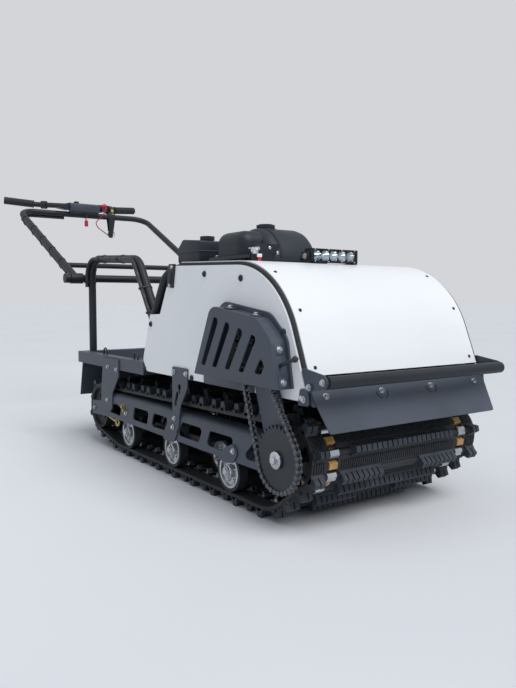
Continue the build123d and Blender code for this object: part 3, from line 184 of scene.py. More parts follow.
# %% Finishes
FINISH = {
    # Vulcanised rubber: dull, nearly black, greyer where dust lies
    "track_rubber": surface("vulcanised_rubber", "#16191d", "#24282e", 0.66, 3, 0.35, worn="#3d434b"),
    "lug_rubber": surface("dusty_lug_rubber", "#232931", "#363e48", 0.62, 3, 0.3, blotch=60, worn="#5f6873"),
    "black_rubber": surface("wheel_rubber", "#14171b", "#1f2328", 0.7, 3, 0.2, worn="#33383f"),
    # Bright zinc plate: pale grey metal with a soft, slightly cloudy gloss
    "zinc_steel": surface("bright_zinc_plate", "#c3c6ca", "#a9adb3", 0.3, 2, 0.03, metal=1, blotch=25),
    # Cast polyurethane: warm amber, waxy
    "amber_polymer": surface("cast_polyurethane", "#c69f63", "#ab8248", 0.45, 2, 0.06, blotch=30,
                             worn="#e2c696"),
    # Machined aluminium: bright, with fine tool marks
    "alloy": surface("machined_aluminium", "#d3d6d9", "#aeb2b7", 0.3, 1.5, 0.04, metal=1, blotch=22),
    # Powder-coated sheet steel: anthracite satin with orange peel
    "graphite_sheet": surface("anthracite_powder_coat", "#383f4a", "#414956", 0.5, 2.2, 0.05, worn="#5b6470"),
    "black_tube": surface("black_powder_coat", "#171b22", "#1f252d", 0.5, 2.2, 0.05, worn="#39414b",
                          Specular_IOR_Level=0.35),
    # Stove-enamelled aluminium sheet: white, smooth and faintly glossy
    "white_sheet": surface("white_enamelled_sheet", "#eff1f4", "#eaedf0", 0.34, 6, 0.02, blotch=300,
                           worn="#ffffff"),
    # Sand-cast aluminium, dulled by heat
    "engine_casting": surface("cast_aluminium", "#63676b", "#4c5054", 0.55, 1.6, 0.15, metal=0.7,
                              worn="#85898d"),
    # Moulded polypropylene: satin black with a stipple
    "black_plastic": surface("moulded_polypropylene", "#191e25", "#212832", 0.48, 1.2, 0.05, worn="#3b434e",
                             Specular_IOR_Level=0.35),
    "lamp_housing": surface("black_anodised_aluminium", "#191b1e", "#222428", 0.38, 1.5, 0.04, metal=0.4),
    # Oiled roller chain: dark steel that shines on its crowns
    "chain_steel": surface("oiled_steel", "#55585d", "#3d4045", 0.3, 1.5, 0.05, metal=0.9, blotch=15,
                           worn="#b4b8be"),
    "dark_steel": surface("blued_steel", "#2e3135", "#3a3d42", 0.42, 2, 0.05, metal=0.6, worn="#6a6e74"),
    "red_plastic": surface("red_moulded_plastic", "#bf1d2d", "#a81826", 0.4, 1.2, 0.04, worn="#d8525c"),
    "yellow_plastic": surface("yellow_moulded_plastic", "#e0c322", "#cfb01c", 0.4, 1.2, 0.04, worn="#ece08a"),
    # Nylon webbing: matt, woven, its threads drawn coarse enough to show
    "webbing": relief(surface("nylon_webbing", "#1b1c1f", "#25272b", 0.8, 1.6, 0.1), 2.5, 0.4, "Y", "Z"),
    # Split loom: a black plastic hose with rings round it
    "conduit": relief(surface("split_loom_conduit", "#1d1f22", "#26282c", 0.5, 2.5, 0.05, worn="#3a3d42"),
                      5, 0.8, "DIAGONAL"),
    # Golden passivated zinc: a warm metal on small fittings
    "golden_zinc": surface("golden_zinc_plate", "#bda873", "#978457", 0.34, 2, 0.03, metal=1, blotch=20),
    # Polished chrome: a mirror, hardly marked
    "mirror_chrome": surface("polished_chrome", "#e4e7ea", "#d5d9dd", 0.12, 2, 0.01, metal=1, blotch=20),
    # Lamp phosphor: pale yellow wax over the diode
    "lamp_phosphor": surface("diode_phosphor", "#e8d98a", "#dccb74", 0.4, 1, 0.02, blotch=4),
    # Clear polycarbonate: see-through, a little hazed by fine scratches
    "lamp_lens": surface("clear_polycarbonate", "#f4f8fb", "#e9eff4", 0.065, 30, 0.005, blotch=40, edge=0.3,
                         Transmission_Weight=1.0, IOR=1.3),
}

print(len(FINISH), "finishes")

# %% [markdown]
# The record names a finish for each solid, so one loop gives every carried-over solid its material.

# %% Give the solids their finishes
for name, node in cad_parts.items():
    slot = node.data.materials[0].name.split(".")[0]
    node.data.materials.clear()
    node.data.materials.append(FINISH[slot])
print(len(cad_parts), "solids dressed")

# %% [markdown]
# A pale studio. A broad, soft sun from the front left lights the hood and lets the near side fall into
# shade, as in the photograph; it lights the whole floor evenly, where a lamp would leave a dark horizon.
# The sky fills the shade, and two large lamps are there for their reflections in tube and enamel. What
# the camera, metal and glass see of the sky is the tone of the lit floor, so the two meet unseen.

# %% Floor, sky and lamps
FLOOR_HALF = 60
floor_mesh = bpy.data.meshes.new("floor")
floor_mesh.from_pydata([(x, y, 0) for x, y in ((-1, -1), (1, -1), (1, 1), (-1, 1))], [], [(0, 1, 2, 3)])
floor_mesh.transform(Matrix.Scale(FLOOR_HALF, 4))
floor = shown("floor", floor_mesh)
floor_mesh.materials.append(surface("pale_matt_floor", "#e2e4e7", "#dfe1e5", 0.85, 40, 0.02, blotch=900,
                                    Specular_IOR_Level=0.1))

SKY_FILL, SKY_SEEN = "#969ba3", "#d3d5d8"
sky = bpy.data.worlds.new("studio")
sky.use_nodes = True
sky_tree = sky.node_tree
ray = put(sky_tree, "ShaderNodeLightPath").outputs
direct = put(sky_tree, "ShaderNodeMath", {0: ray["Is Camera Ray"], 1: ray["Is Glossy Ray"]}, operation="ADD")
seen = put(sky_tree, "ShaderNodeMath", {0: direct.outputs[0], 1: ray["Is Transmission Ray"]},
           operation="ADD", use_clamp=True)
shade = put(sky_tree, "ShaderNodeMix", {0: seen.outputs[0], 6: paint(SKY_FILL), 7: paint(SKY_SEEN)},
            data_type="RGBA")
sky_tree.links.new(shade.outputs[2], sky_tree.nodes["Background"].inputs["Color"])
bpy.context.scene.world = sky


def lamp(name, kind, place, aim, power, **settings):
    """A light of a kind at a place, aimed at a point."""
    light = bpy.data.lights.new(name, kind)
    light.energy = power
    for key, value in settings.items():
        setattr(light, key, value)
    made = shown(name, light)
    made.location = place
    made.rotation_euler = (Vector(aim) - Vector(place)).to_track_quat("-Z", "Y").to_euler()


lamp("soft_sun", "SUN", (3.0, 0.3, 4.0), (0, 0, 0), 2.15, angle=radians(40))
lamp("top_box", "AREA", (0.6, -1.2, 3.0), (0.2, 0, 0.4), 10, shape="RECTANGLE", size=3.2, size_y=1.4)
lamp("near_box", "AREA", (-0.6, -3.2, 1.5), (0.2, 0, 0.3), 5, shape="RECTANGLE", size=2.6, size_y=1.2)

# %% [markdown]
# The stop-switch lanyard is the one free cord: a thin red line from the cap on the handlebar, down in
# front of the bar and back up to the ring on the wrist strap. Its control points are the same as the
# solid's, and a NURBS spline makes them one smooth curve.

# %% Lanyard
LANYARD_ROUTE = (
    (-873, 87, 890), (-846, 84, 886), (-838, 72, 858), (-842, 52, 832), (-850, 34, 816),
    (-856, 44, 796), (-863, 68, 782), (-873, 90, 772), (-884, 104, 766),
)
LANYARD_R = 2
line = bpy.data.curves.new("lanyard_cord", "CURVE")
line.dimensions = "3D"
line.bevel_depth = LANYARD_R * MM
line.bevel_resolution = 4
spline = line.splines.new("NURBS")
spline.points.add(len(LANYARD_ROUTE) - 1)
for point, place in zip(spline.points, LANYARD_ROUTE):
    point.co = (*[c * MM for c in place], 1)
spline.order_u = 3
spline.use_endpoint_u = True
spline.resolution_u = 12
# Braided polyester cord: red and matt, its plait drawn coarse enough to show
line.materials.append(relief(surface("red_braided_cord", "#b81a2b", "#8f1220", 0.6, 1.0, 0.1, blotch=4),
                             4, 0.5, "DIAGONAL", "Z"))
lanyard = shown("lanyard_cord", line)
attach(lanyard, "bow")
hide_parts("lanyard")
print("lanyard", round(spline.calc_length() / MM), "mm")

# %% [markdown]
# Small shapes are lists of corners and faces in millimetres: a turned one, like a lathe's work, a prism
# with a flat outline, a box, and any of these with its edges rounded. Lists are quick to move and to
# join, and no object is made before its shape is whole.

# %% Tools for shapes
TURN_TO_X = Matrix(((0, 0, 1, 0), (1, 0, 0, 0), (0, 1, 0, 0), (0, 0, 0, 1)))
TURN_TO_Y = Matrix(((1, 0, 0, 0), (0, 0, 1, 0), (0, 1, 0, 0), (0, 0, 0, 1)))
UPRIGHT = Matrix.Rotation(pi / 2, 4, "X")


def turned(profile, steps=16):
    """A shape turned about Z from (radius, height) pairs, going up."""
    corners, rings, faces = [], [], []
    for radius, z in profile:
        count = steps if radius else 1
        rings.append(range(len(corners), len(corners) + count))
        corners += [(radius * cos(tau * i / steps), radius * sin(tau * i / steps), z) for i in range(count)]
    for low, high in zip(rings, rings[1:]):
        for i in range(steps):
            j = (i + 1) % steps
            face = [low[i % len(low)], low[j % len(low)], high[j % len(high)], high[i % len(high)]]
            faces.append(list(dict.fromkeys(face)))
    faces += [list(ring) for ring in (rings[0], rings[-1]) if len(ring) > 1]
    return corners, faces


def prism(outline, low, high):
    """A flat outline in XY, drawn out along Z."""
    count = len(outline)
    corners = [(x, y, z) for z in (low, high) for x, y in outline]
    faces = [list(range(count)), list(range(count, 2 * count))]
    faces += [[i, (i + 1) % count, count + (i + 1) % count, count + i] for i in range(count)]
    return corners, faces


def slab(x, y, z):
    """A box between low and high sides."""
    return prism([(x[0], y[0]), (x[1], y[0]), (x[1], y[1]), (x[0], y[1])], *z)


def soft(shape, radius, steps=4):
    """A shape with all its edges rounded."""
    work = bmesh.new()
    corners = [work.verts.new(corner) for corner in shape[0]]
    for face in shape[1]:
        work.faces.new([corners[i] for i in face])
    bmesh.ops.recalc_face_normals(work, faces=work.faces)
    bmesh.ops.bevel(work, geom=work.edges, offset=radius, segments=steps, profile=0.5, affect="EDGES")
    work.verts.index_update()
    result = [tuple(v.co) for v in work.verts], [[v.index for v in f.verts] for f in work.faces]
    work.free()
    return result


def soft_block(x, y, z, radius, steps=4):
    """A box with rounded edges."""
    return soft(slab(x, y, z), radius, steps)


print("a rounded block has", len(soft_block((0, 10), (0, 10), (0, 10), 2)[1]), "faces")

# %% [markdown]
# Sheet parts start as flat outlines, as they would on a laser cutter: an arc, a rounded rectangle, an
# outline through rounded corners, a scalloped one, and a path moved aside by the thickness of a sheet. A
# filled outline with holes is drawn out to a plate, which is cleaner than cutting holes afterwards.

# %% Tools for flat outlines
def arc(radius, sweep, steps, start=0):
    """Points round the origin, from a start angle through a sweep."""
    turns = [start + sweep * k / steps for k in range(steps + 1)]
    return [(radius * cos(a), radius * sin(a)) for a in turns]


def round_rect(x, y, radius, steps=6):
    """The outline of a rectangle with rounded corners."""
    outline = []
    for quarter, (cx, cy) in enumerate(((x[1] - radius, y[1] - radius), (x[0] + radius, y[1] - radius),
                                        (x[0] + radius, y[0] + radius), (x[1] - radius, y[0] + radius))):
        outline += [(cx + dx, cy + dy) for dx, dy in arc(radius, pi / 2, steps, pi / 2 * quarter)]
    return outline


def rounded(points, steps=6):
    """The outline through (x, y, radius) corners, each rounded."""
    outline = []
    for i, (x, y, radius) in enumerate(points):
        here = Vector((x, y))
        before, after = [(Vector(points[k][:2]) - here).normalized() for k in (i - 1, (i + 1) % len(points))]
        half = before.angle(after) / 2
        middle = here + (before + after).normalized() * radius / sin(half)
        ends = [here + way * radius / tan(half) - middle for way in (before, after)]
        outline += [tuple(middle + ends[0].lerp(ends[1], k / steps).normalized() * radius)
                    for k in range(steps + 1)]
    return outline


def lobed(count, radius, depth, per_lobe=4):
    """A scalloped round outline, for a knob or a cap."""
    outline = []
    for i in range(count * per_lobe):
        reach = radius - depth * (0.5 + 0.5 * cos(tau * i / per_lobe))
        a = tau * i / per_lobe / count
        outline.append((reach * cos(a), reach * sin(a)))
    return outline


def beside(path, distance):
    """A flat path moved to its left by a distance."""
    result = []
    for i, (x, y) in enumerate(path):
        (ax, ay), (bx, by) = path[max(i - 1, 0)], path[min(i + 1, len(path) - 1)]
        long = hypot(bx - ax, by - ay)
        result.append((x - (by - ay) / long * distance, y + (bx - ax) / long * distance))
    return result


def pierced(outline, holes, low, high):
    """A flat sheet in XY with holes through it, drawn out along Z."""
    work = bmesh.new()
    for ring in (outline, *holes):
        corners = [work.verts.new((x, y, 0)) for x, y in ring]
        for a, b in zip(corners, corners[1:] + corners[:1]):
            work.edges.new((a, b))
    work.verts.index_update()
    flat = [tuple(v.co.xy) for v in work.verts]
    bmesh.ops.triangle_fill(work, use_beauty=True, edges=work.edges[:])
    fill = [[v.index for v in face.verts] for face in work.faces]
    work.free()
    corners = [(x, y, z) for z in (low, high) for x, y in flat]
    faces = fill + [[i + len(flat) for i in face] for face in fill]
    first = 0
    for ring in (outline, *holes):
        pairs = [(first + i, first + (i + 1) % len(ring)) for i in range(len(ring))]
        faces += [[a, b, b + len(flat), a + len(flat)] for a, b in pairs]
        first += len(ring)
    return corners, faces


print("an outline with three rounded corners has", len(rounded([(0, 0, 1), (9, 0, 1), (0, 9, 1)])), "points")

# %% [markdown]
# Shapes are put in place by matrices. A bolt stands on a point and looks outwards, and most parts come
# once for each side of the machine. Bars and bands follow a line of points.

# %% Tools for places
SIDES = (-1, 1)
shift = Matrix.Translation


def moved(shape, matrix):
    """A shape put through a matrix."""
    return [tuple(matrix @ Vector(corner)) for corner in shape[0]], shape[1]


def joined(*shapes):
    """Several shapes as one."""
    corners, faces = [], []
    for more, theirs in shapes:
        faces += [[i + len(corners) for i in face] for face in theirs]
        corners += more
    return corners, faces


def facing(point, out, along=(0, 0, 1)):
    """The place whose Z points out and whose X points along."""
    z = Vector(out).normalized()
    x = Vector(along) - z * z.dot(Vector(along))
    if x.length < 1e-6:
        x = z.orthogonal()
    x.normalize()
    return shift(point) @ Matrix((x, z.cross(x), z)).transposed().to_4x4()


def both_sides(spots, y):
    """Places at (x, z) spots on the right and left of the machine, looking outwards."""
    return [facing((x, side * y, z), (0, side, 0)) for x, z in spots for side in SIDES]


def on_side(shape, side=-1):
    """A flat shape stood up against one side of the machine, the right one if not said."""
    return moved(shape, Matrix(((1, 0, 0, 0), (0, 0, side, 0), (0, 1, 0, 0), (0, 0, 0, 1))))


def standing(outline, low, high):
    """A prism with its outline in XZ, between two faces in Y."""
    return moved(prism(outline, low, high), TURN_TO_Y)


def band_faces(count):
    """The faces of a closed band of so many sections, each with four corners."""
    return [[(n + a) % count * 4 + (k + b) % 4 for a, b in ((0, 0), (1, 0), (1, 1), (0, 1))]
            for n in range(count) for k in range(4)]


def tube(path, radius, steps=10, closed=False):
    """A round bar along close points, with its own radius at each point if radius is a list."""
    points = [Vector(p) for p in path]
    count = len(points)
    radii = radius if isinstance(radius, list) else [radius] * count
    side = None
    corners, faces = [], []
    for i, point in enumerate(points):
        ahead = points[(i + 1) % count] if closed or i + 1 < count else point
        behind = points[i - 1] if closed or i else point
        way = (ahead - behind).normalized()
        side = (side or way.orthogonal()) - way * way.dot(side or way.orthogonal())
        side.normalize()
        up = way.cross(side)
        corners += [tuple(point + (side * cos(tau * k / steps) + up * sin(tau * k / steps)) * radii[i])
                    for k in range(steps)]
    for i in range(count if closed else count - 1):
        j = (i + 1) % count
        faces += [[i * steps + k, i * steps + (k + 1) % steps, j * steps + (k + 1) % steps, j * steps + k]
                  for k in range(steps)]
    if not closed:
        faces += [list(range(steps)), list(range((count - 1) * steps, count * steps))]
    return corners, faces


print("a spot gives", len(both_sides([(0, 0)], 1)), "places")

# %% [markdown]
# A shape becomes a mesh once, with outward faces and smooth shading where the angle is small. The piece
# then rides on a body and may stand for solids.


def mesh_of(name, shape, finish, angle):
    """A shape as a mesh with one finish, sharp where its faces meet at more than an angle."""
    mesh = bpy.data.meshes.new(name)
    mesh.from_pydata([Vector(corner) * MM for corner in shape[0]], [], shape[1])
    work = bmesh.new()
    work.from_mesh(mesh)
    bmesh.ops.recalc_face_normals(work, faces=work.faces)
    work.to_mesh(mesh)
    work.free()
    mesh.shade_smooth()
    mesh.set_sharp_from_angle(angle=radians(angle))
    mesh.materials.append(finish)
    return mesh


def settle(name, mesh, slot, *replaced, body):
    """Shows a finished mesh as a piece that rides on a body and may stand for solids."""
    made = shown(name, mesh)
    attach(made, body)
    if replaced:
        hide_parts(*replaced)
    print(name, len(mesh.polygons), "faces")
    return made


def solid(name, shape, slot, *replaced, body="chassis", angle=35):
    """A shape as a piece."""
    return settle(name, mesh_of(name, shape, FINISH[slot], angle), slot, *replaced, body=body)


def box_of(node):
    """The low and high corner of a solid's box, in millimetres."""
    return [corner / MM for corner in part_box(node)]


def centre_of(node):
    """The middle of a solid's box, in millimetres."""
    low, high = box_of(node)
    return (low + high) / 2


# %% [markdown]
# What repeats is set by one Geometry Nodes tree: copies of a small shape on points that carry how each
# copy turns and stretches. The copies are made real and given their finish in the tree.

# %% A tree that sets copies
copies = bpy.data.node_groups.new("set_copies", "GeometryNodeTree")
for label, kind in (("Points", "Geometry"), ("Shape", "Object"), ("Size", "Float"), ("Finish", "Material")):
    copies.interface.new_socket(label, in_out="INPUT", socket_type="NodeSocket" + kind)
copies.interface.new_socket("Copies", in_out="OUTPUT", socket_type="NodeSocketGeometry")
given = put(copies, "NodeGroupInput").outputs
shape_in = put(copies, "GeometryNodeObjectInfo", {"Object": given["Shape"], "As Instance": True})
turn_in = put(copies, "GeometryNodeInputNamedAttribute", {"Name": "turn"}, data_type="FLOAT_VECTOR")
stretch_in = put(copies, "GeometryNodeInputNamedAttribute", {"Name": "stretch"}, data_type="FLOAT_VECTOR")
turned_by = put(copies, "FunctionNodeEulerToRotation", {"Euler": turn_in.outputs["Attribute"]})
grown_by = put(copies, "ShaderNodeVectorMath", {0: stretch_in.outputs["Attribute"], "Scale": given["Size"]},
               operation="SCALE")
laid = put(copies, "GeometryNodeInstanceOnPoints", {
    "Points": given["Points"], "Instance": shape_in.outputs["Geometry"],
    "Rotation": turned_by.outputs[0], "Scale": grown_by.outputs[0]})
real = put(copies, "GeometryNodeRealizeInstances", {"Geometry": laid.outputs[0]})
coated = put(copies, "GeometryNodeSetMaterial", {"Geometry": real.outputs[0], "Material": given["Finish"]})
put(copies, "NodeGroupOutput", {"Copies": coated.outputs[0]})
INPUTS = {item.name: item.identifier for item in copies.interface.items_tree if item.in_out == "INPUT"}


def repeat(name, shape, places, slot, *replaced, body="chassis", angle=35):
    """Copies of a shape at places, each a matrix in millimetres or a matrix and a stretch, as one piece."""
    places = [place if isinstance(place, tuple) else (place, (1, 1, 1)) for place in places]
    points = bpy.data.meshes.new(name)
    points.from_pydata([matrix.translation * MM for matrix, stretch in places], [], [])
    turns = points.attributes.new("turn", "FLOAT_VECTOR", "POINT")
    turns.data.foreach_set("vector", [c for matrix, stretch in places for c in matrix.to_euler()])
    stretches = points.attributes.new("stretch", "FLOAT_VECTOR", "POINT")
    stretches.data.foreach_set("vector", [c for matrix, stretch in places for c in stretch])
    pattern = shown(name + "_pattern", mesh_of(name, shape, FINISH[slot], angle))
    holder = shown(name + "_points", points)
    setter = holder.modifiers.new("copies", "NODES")
    setter.node_group = copies
    setter[INPUTS["Shape"]] = pattern
    setter[INPUTS["Size"]] = 1.0
    setter[INPUTS["Finish"]] = FINISH[slot]
    mesh = bpy.data.meshes.new_from_object(holder.evaluated_get(bpy.context.evaluated_depsgraph_get()))
    for made in (pattern, holder):
        bpy.data.objects.remove(made)
    return settle(name, mesh, slot, *replaced, body=body)


print("tree", copies.name, "takes", list(INPUTS))

# %% [markdown]
# The track is an endless rubber band round two low bends, the drive drum and the rear idler. A point on
# it is found from the distance along the loop, so the band's grid, its drive ports, the lugs and the
# clips all keep step with the fifty millimetre pitch.

# %% Loops round circles
def runs_of(circles):
    """For each circle (x, z, radius): its first heading, its turn and the straight run after it."""
    pairs = list(zip(circles, circles[1:] + circles[:1]))
    ways = [atan2(b[1] - a[1], b[0] - a[0]) + asin((a[2] - b[2]) / hypot(b[0] - a[0], b[1] - a[1]))
            for a, b in pairs]
    lengths = [(hypot(b[0] - a[0], b[1] - a[1]) ** 2 - (a[2] - b[2]) ** 2) ** 0.5 for a, b in pairs]
    return [(circle, ways[i - 1], (ways[i] - ways[i - 1]) % tau, lengths[i])
            for i, circle in enumerate(circles)]


def loop_length(runs):
    """The length of a loop round circles."""
    return sum(circle[2] * turn + run for circle, first, turn, run in runs)


def loop_place(runs, distance):
    """Position in the side view and heading, at a distance along the loop."""
    distance %= loop_length(runs)
    for (x, z, radius), first, turn, run in runs:
        heading = first + min(distance / radius, turn)
        beyond = max(0, distance - radius * turn)
        if beyond <= run:
            return (x + radius * sin(heading) + beyond * cos(heading),
                    z - radius * cos(heading) + beyond * sin(heading), heading)
        distance -= radius * turn + run
    return loop_place(runs, 0)


def on_loop(runs, distance, y, rise=0):
    """A place on the loop whose X runs with it and whose Z points out."""
    x, z, heading = loop_place(runs, distance)
    out = Vector((sin(heading), 0, -cos(heading)))
    return facing(Vector((x, y, z)) + out * rise, out, (cos(heading), 0, sin(heading)))


PITCH, BAND, LUG = 50, 8, 20
DRIVE_TEETH = 8
BEND_R, BEND_REAR, BEND_FRONT = 120, 45, 800
TRACK_HALF = 250
PORT_Y, PORT_HALF, PORT_REACH = 196, 12.5, 12.5
drive, idler = centre_of("drive_axle"), centre_of("idler_axle")
IDLER_R = 67 + BAND / 2
BELT = runs_of([
    (BEND_REAR, LUG + BAND / 2 + BEND_R, BEND_R), (BEND_FRONT, LUG + BAND / 2 + BEND_R, BEND_R),
    (drive.x, drive.z, DRIVE_TEETH * PITCH / tau), (idler.x, idler.z, IDLER_R),
])
LINKS = round(loop_length(BELT) / PITCH)
print("belt", round(loop_length(BELT), 1), "mm,", LINKS, "links")

# %% [markdown]
# The band itself is a flat rubber belt with a window at each pitch for the drive teeth. It could be cut
# with booleans, but a grid that skips the window cells gives clean walls at once: each cell gets an
# inner and an outer face, and a wall wherever its neighbour is missing.

# %% Track band with its drive ports
PORT_STEPS, ROD_LINES = 3, (18, 25, 32)
STEPS = [-PORT_REACH + 2 * PORT_REACH * i / PORT_STEPS for i in range(PORT_STEPS)]
STEPS += [PORT_REACH, *ROD_LINES]
LINES = [-TRACK_HALF, -PORT_Y - PORT_HALF, -PORT_Y + PORT_HALF,
         PORT_Y - PORT_HALF, PORT_Y + PORT_HALF, TRACK_HALF]
along = [row * PITCH + step for row in range(LINKS) for step in STEPS]
corners = [tuple(on_loop(BELT, s, y, side * BAND / 2).translation)
           for s in along for y in LINES for side in SIDES]
WALLS = {(-1, 0): ((0, 0), (0, 1)), (1, 0): ((1, 0), (1, 1)),
         (0, -1): ((0, 0), (1, 0)), (0, 1): ((0, 1), (1, 1))}


def band_corner(i, j, side):
    """The number of a corner: row along the band, line across it, inner or outer side."""
    return (i % len(along) * len(LINES) + j) * 2 + side


def is_rubber(i, j):
    """Whether a cell of the grid is rubber: on the band and not a window."""
    port = i % len(STEPS) < PORT_STEPS and j in (1, 3)
    return 0 <= j < len(LINES) - 1 and not port


faces = []
for i in range(len(along)):
    for j in range(len(LINES) - 1):
        if not is_rubber(i, j):
            continue
        for side in (0, 1):
            faces.append([band_corner(i + a, j + b, side) for a, b in ((0, 0), (1, 0), (1, 1), (0, 1))])
        for (di, dj), ((a, b), (c, d)) in WALLS.items():
            if not is_rubber((i + di) % len(along), j + dj):
                faces.append([band_corner(i + a, j + b, 0), band_corner(i + c, j + d, 0),
                              band_corner(i + c, j + d, 1), band_corner(i + a, j + b, 1)])
solid("track_band", (corners, faces), "track_rubber", "track_belt", angle=40)

# %% [markdown]
# The lugs are combs: blocks of rubber with gaps between them, on a low bar across the band. They stand
# in columns that change from row to row, so each row fills what the last one left open. A round fibre
# rod stiffens the band under each row, and between the rows it is finely ribbed along its run.

# %% Lugs, rods and ribs of the track
BLOCK_PITCH, BLOCK_GAP = 14.5, 3.5
BAR_HIGH, ROD_R = 5, 7.5
RIB_PITCH, RIB_LONG, RIB_HIGH, RIB_SIDE, RIB_HALF = 6, 21, 1.8, 1.6, 174
EDGE_RIBS, EDGE_RIB_Y = 5, 219
# First row, inner and outer distance from the middle of the band
LUG_COLUMNS = ((1, 60, 176), (1, 220, 250), (0, 0, 150), (0, 220, 244))
block = standing([(-11, 0), (11, 0), (9.5, 10), (6.5, LUG), (-6.5, LUG), (-9.5, 10)], -0.5, 0.5)
bar = standing([(-13, -1), (13, -1), (11, BAR_HIGH), (-11, BAR_HIGH)], -0.5, 0.5)
lug_rows = [(row + 0.5) * PITCH for row in range(LINKS)]
blocks, bars = [], []
for row, at in enumerate(lug_rows):
    for first, inner, outer in LUG_COLUMNS:
        if row % 2 != first:
            continue
        count = round((outer - inner) / BLOCK_PITCH)
        wide = (outer - inner) / count
        for side in SIDES:
            spot = on_loop(BELT, at, side * (inner + outer) / 2, BAND / 2)
            bars.append((spot, (1, outer - inner, 1)))
            for k in range(count):
                spot = on_loop(BELT, at, side * (inner + (k + 0.5) * wide), BAND / 2)
                blocks.append((spot, (1, wide - BLOCK_GAP, 1)))
repeat("track_lug_blocks", block, blocks, "lug_rubber")
repeat("track_lug_bars", bar, bars, "lug_rubber")

arch = [(x, z - 1) for x, z in arc(ROD_R, pi, 6)]
rod = standing(arch, -TRACK_HALF, TRACK_HALF)
repeat("track_rods", rod, [on_loop(BELT, at, 0, BAND / 2) for at in lug_rows], "track_rubber")
rib = standing([(-RIB_LONG / 2, -0.5), (RIB_LONG / 2, -0.5), (RIB_LONG / 2 - 2, RIB_HIGH),
                (2 - RIB_LONG / 2, RIB_HIGH)], -RIB_SIDE, RIB_SIDE)
rib_lines = [-RIB_HALF + (k + 0.5) * RIB_PITCH for k in range(2 * RIB_HALF // RIB_PITCH)]
rib_lines += [side * (EDGE_RIB_Y + k * RIB_PITCH) for k in range(EDGE_RIBS) for side in SIDES]
rib_spots = [on_loop(BELT, row * PITCH, y, BAND / 2) for row in range(LINKS) for y in rib_lines]
repeat("track_ribs", rib, rib_spots, "track_rubber")

# %% [markdown]
# Pressed steel clips sit over the bars between the windows, so that the drive teeth run on metal. Each
# is a strip bent over the rod, with a foot and a guide tooth on the inside.

# %% Clips of the track
CLIP_HALF, CLIP_LONG, CLIP_SHEET, GUIDE_HALF = 12, 24, 1.6, 7
hump = [(-11, 3.4), (-9, 8), (-5, 11), (5, 11), (9, 8), (11, 3.4)]
guide = [(-5, 0), (5, 0), (3, -9), (-3, -9)]
clip = joined(
    standing(hump, -CLIP_HALF, CLIP_HALF),
    slab((-CLIP_LONG / 2, CLIP_LONG / 2), (-CLIP_HALF, CLIP_HALF), (-BAND / 2 - CLIP_SHEET, -BAND / 2)),
    moved(standing(guide, -GUIDE_HALF, GUIDE_HALF), shift((0, 0, -BAND / 2 - 1))),
)
clip_spots = [on_loop(BELT, at, side * PORT_Y) for at in lug_rows for side in SIDES]
repeat("track_clips", clip, clip_spots, "zinc_steel")

# %% [markdown]
# Inside the front of the band, cast polyurethane teeth on dark drums push on the window edges. Only the
# teeth show amber through the windows, so the drums are a piece of their own.

# %% Drive drums and teeth
DRUM_R = DRIVE_TEETH * PITCH / tau - BAND / 2 - 0.3
DRUM_ROWS, COG_HALF = (60, PORT_Y), 10.5
drum = turned([(0, -12), (24, -12), (24, -8), (48, -8), (51, -12), (DRUM_R, -12),
               (DRUM_R, 12), (51, 12), (48, 8), (24, 8), (24, 12), (0, 12)], 40)
drum_spots = [spot for y in DRUM_ROWS for spot in both_sides([(drive.x, drive.z)], y)]
repeat("drive_drums", drum, drum_spots, "black_rubber", "drive_sprockets")
at_drum = max((on_loop(BELT, row * PITCH, 0) for row in range(LINKS)), key=lambda spot: spot.translation.x)
first_tooth = atan2(at_drum.translation.z - drive.z, at_drum.translation.x - drive.x)
cog = [(-COG_HALF, -2), (COG_HALF, -2), (9.5, 4), (7.5, 9.5), (6, 11), (-6, 11), (-7.5, 9.5), (-9.5, 4)]
teeth = []
for a in [first_tooth + tau * k / DRIVE_TEETH for k in range(DRIVE_TEETH)]:
    out = Vector((cos(a), 0, sin(a)))
    teeth += [facing(Vector((drive.x, side * PORT_Y, drive.z)) + out * DRUM_R, out, (-sin(a), 0, cos(a)))
              for side in SIDES]
repeat("drive_teeth", standing(cog, -COG_HALF, COG_HALF), teeth, "amber_polymer")

# %% [markdown]
# The roller chain runs from the pinion behind the slotted cover to the big sprocket on the drive axle.
# Outer and inner links take turns, each set between two pins on the pitch line, as a chain is riveted.

# %% Chain links
CHAIN_PITCH, CHAIN_TEETH, PINION_TEETH = 12.7, 33, 11
ROLLER_R, LINK_R = 4.2, 5.4
pinion = centre_of("drive_pinion")
chain_y = centre_of("chain_loop").y
CHAIN_R = CHAIN_PITCH / (2 * sin(pi / CHAIN_TEETH))
PINION_R = CHAIN_PITCH / (2 * sin(pi / PINION_TEETH))
CHAIN = runs_of([(drive.x, drive.z, CHAIN_R), (pinion.x, pinion.z, PINION_R)])
CHAIN_LINKS = 2 * round(loop_length(CHAIN) / CHAIN_PITCH / 2)


def link_plate(y, reach):
    """A figure-of-eight plate along X, between two faces in Y."""
    outline = []
    for end in (1, -1):
        outline += [(end * (CHAIN_PITCH / 2 + x), end * z)
                    for x, z in arc(reach, radians(160), 4, radians(-80))]
        outline.append((0, end * reach * 0.5))
    return standing(outline, *y)


def pins(radius, half):
    """A round pin along Y at each end of a link."""
    pin = turned([(radius, -half), (radius, half)], 10)
    return [moved(pin, shift((end * CHAIN_PITCH / 2, 0, 0)) @ UPRIGHT) for end in SIDES]


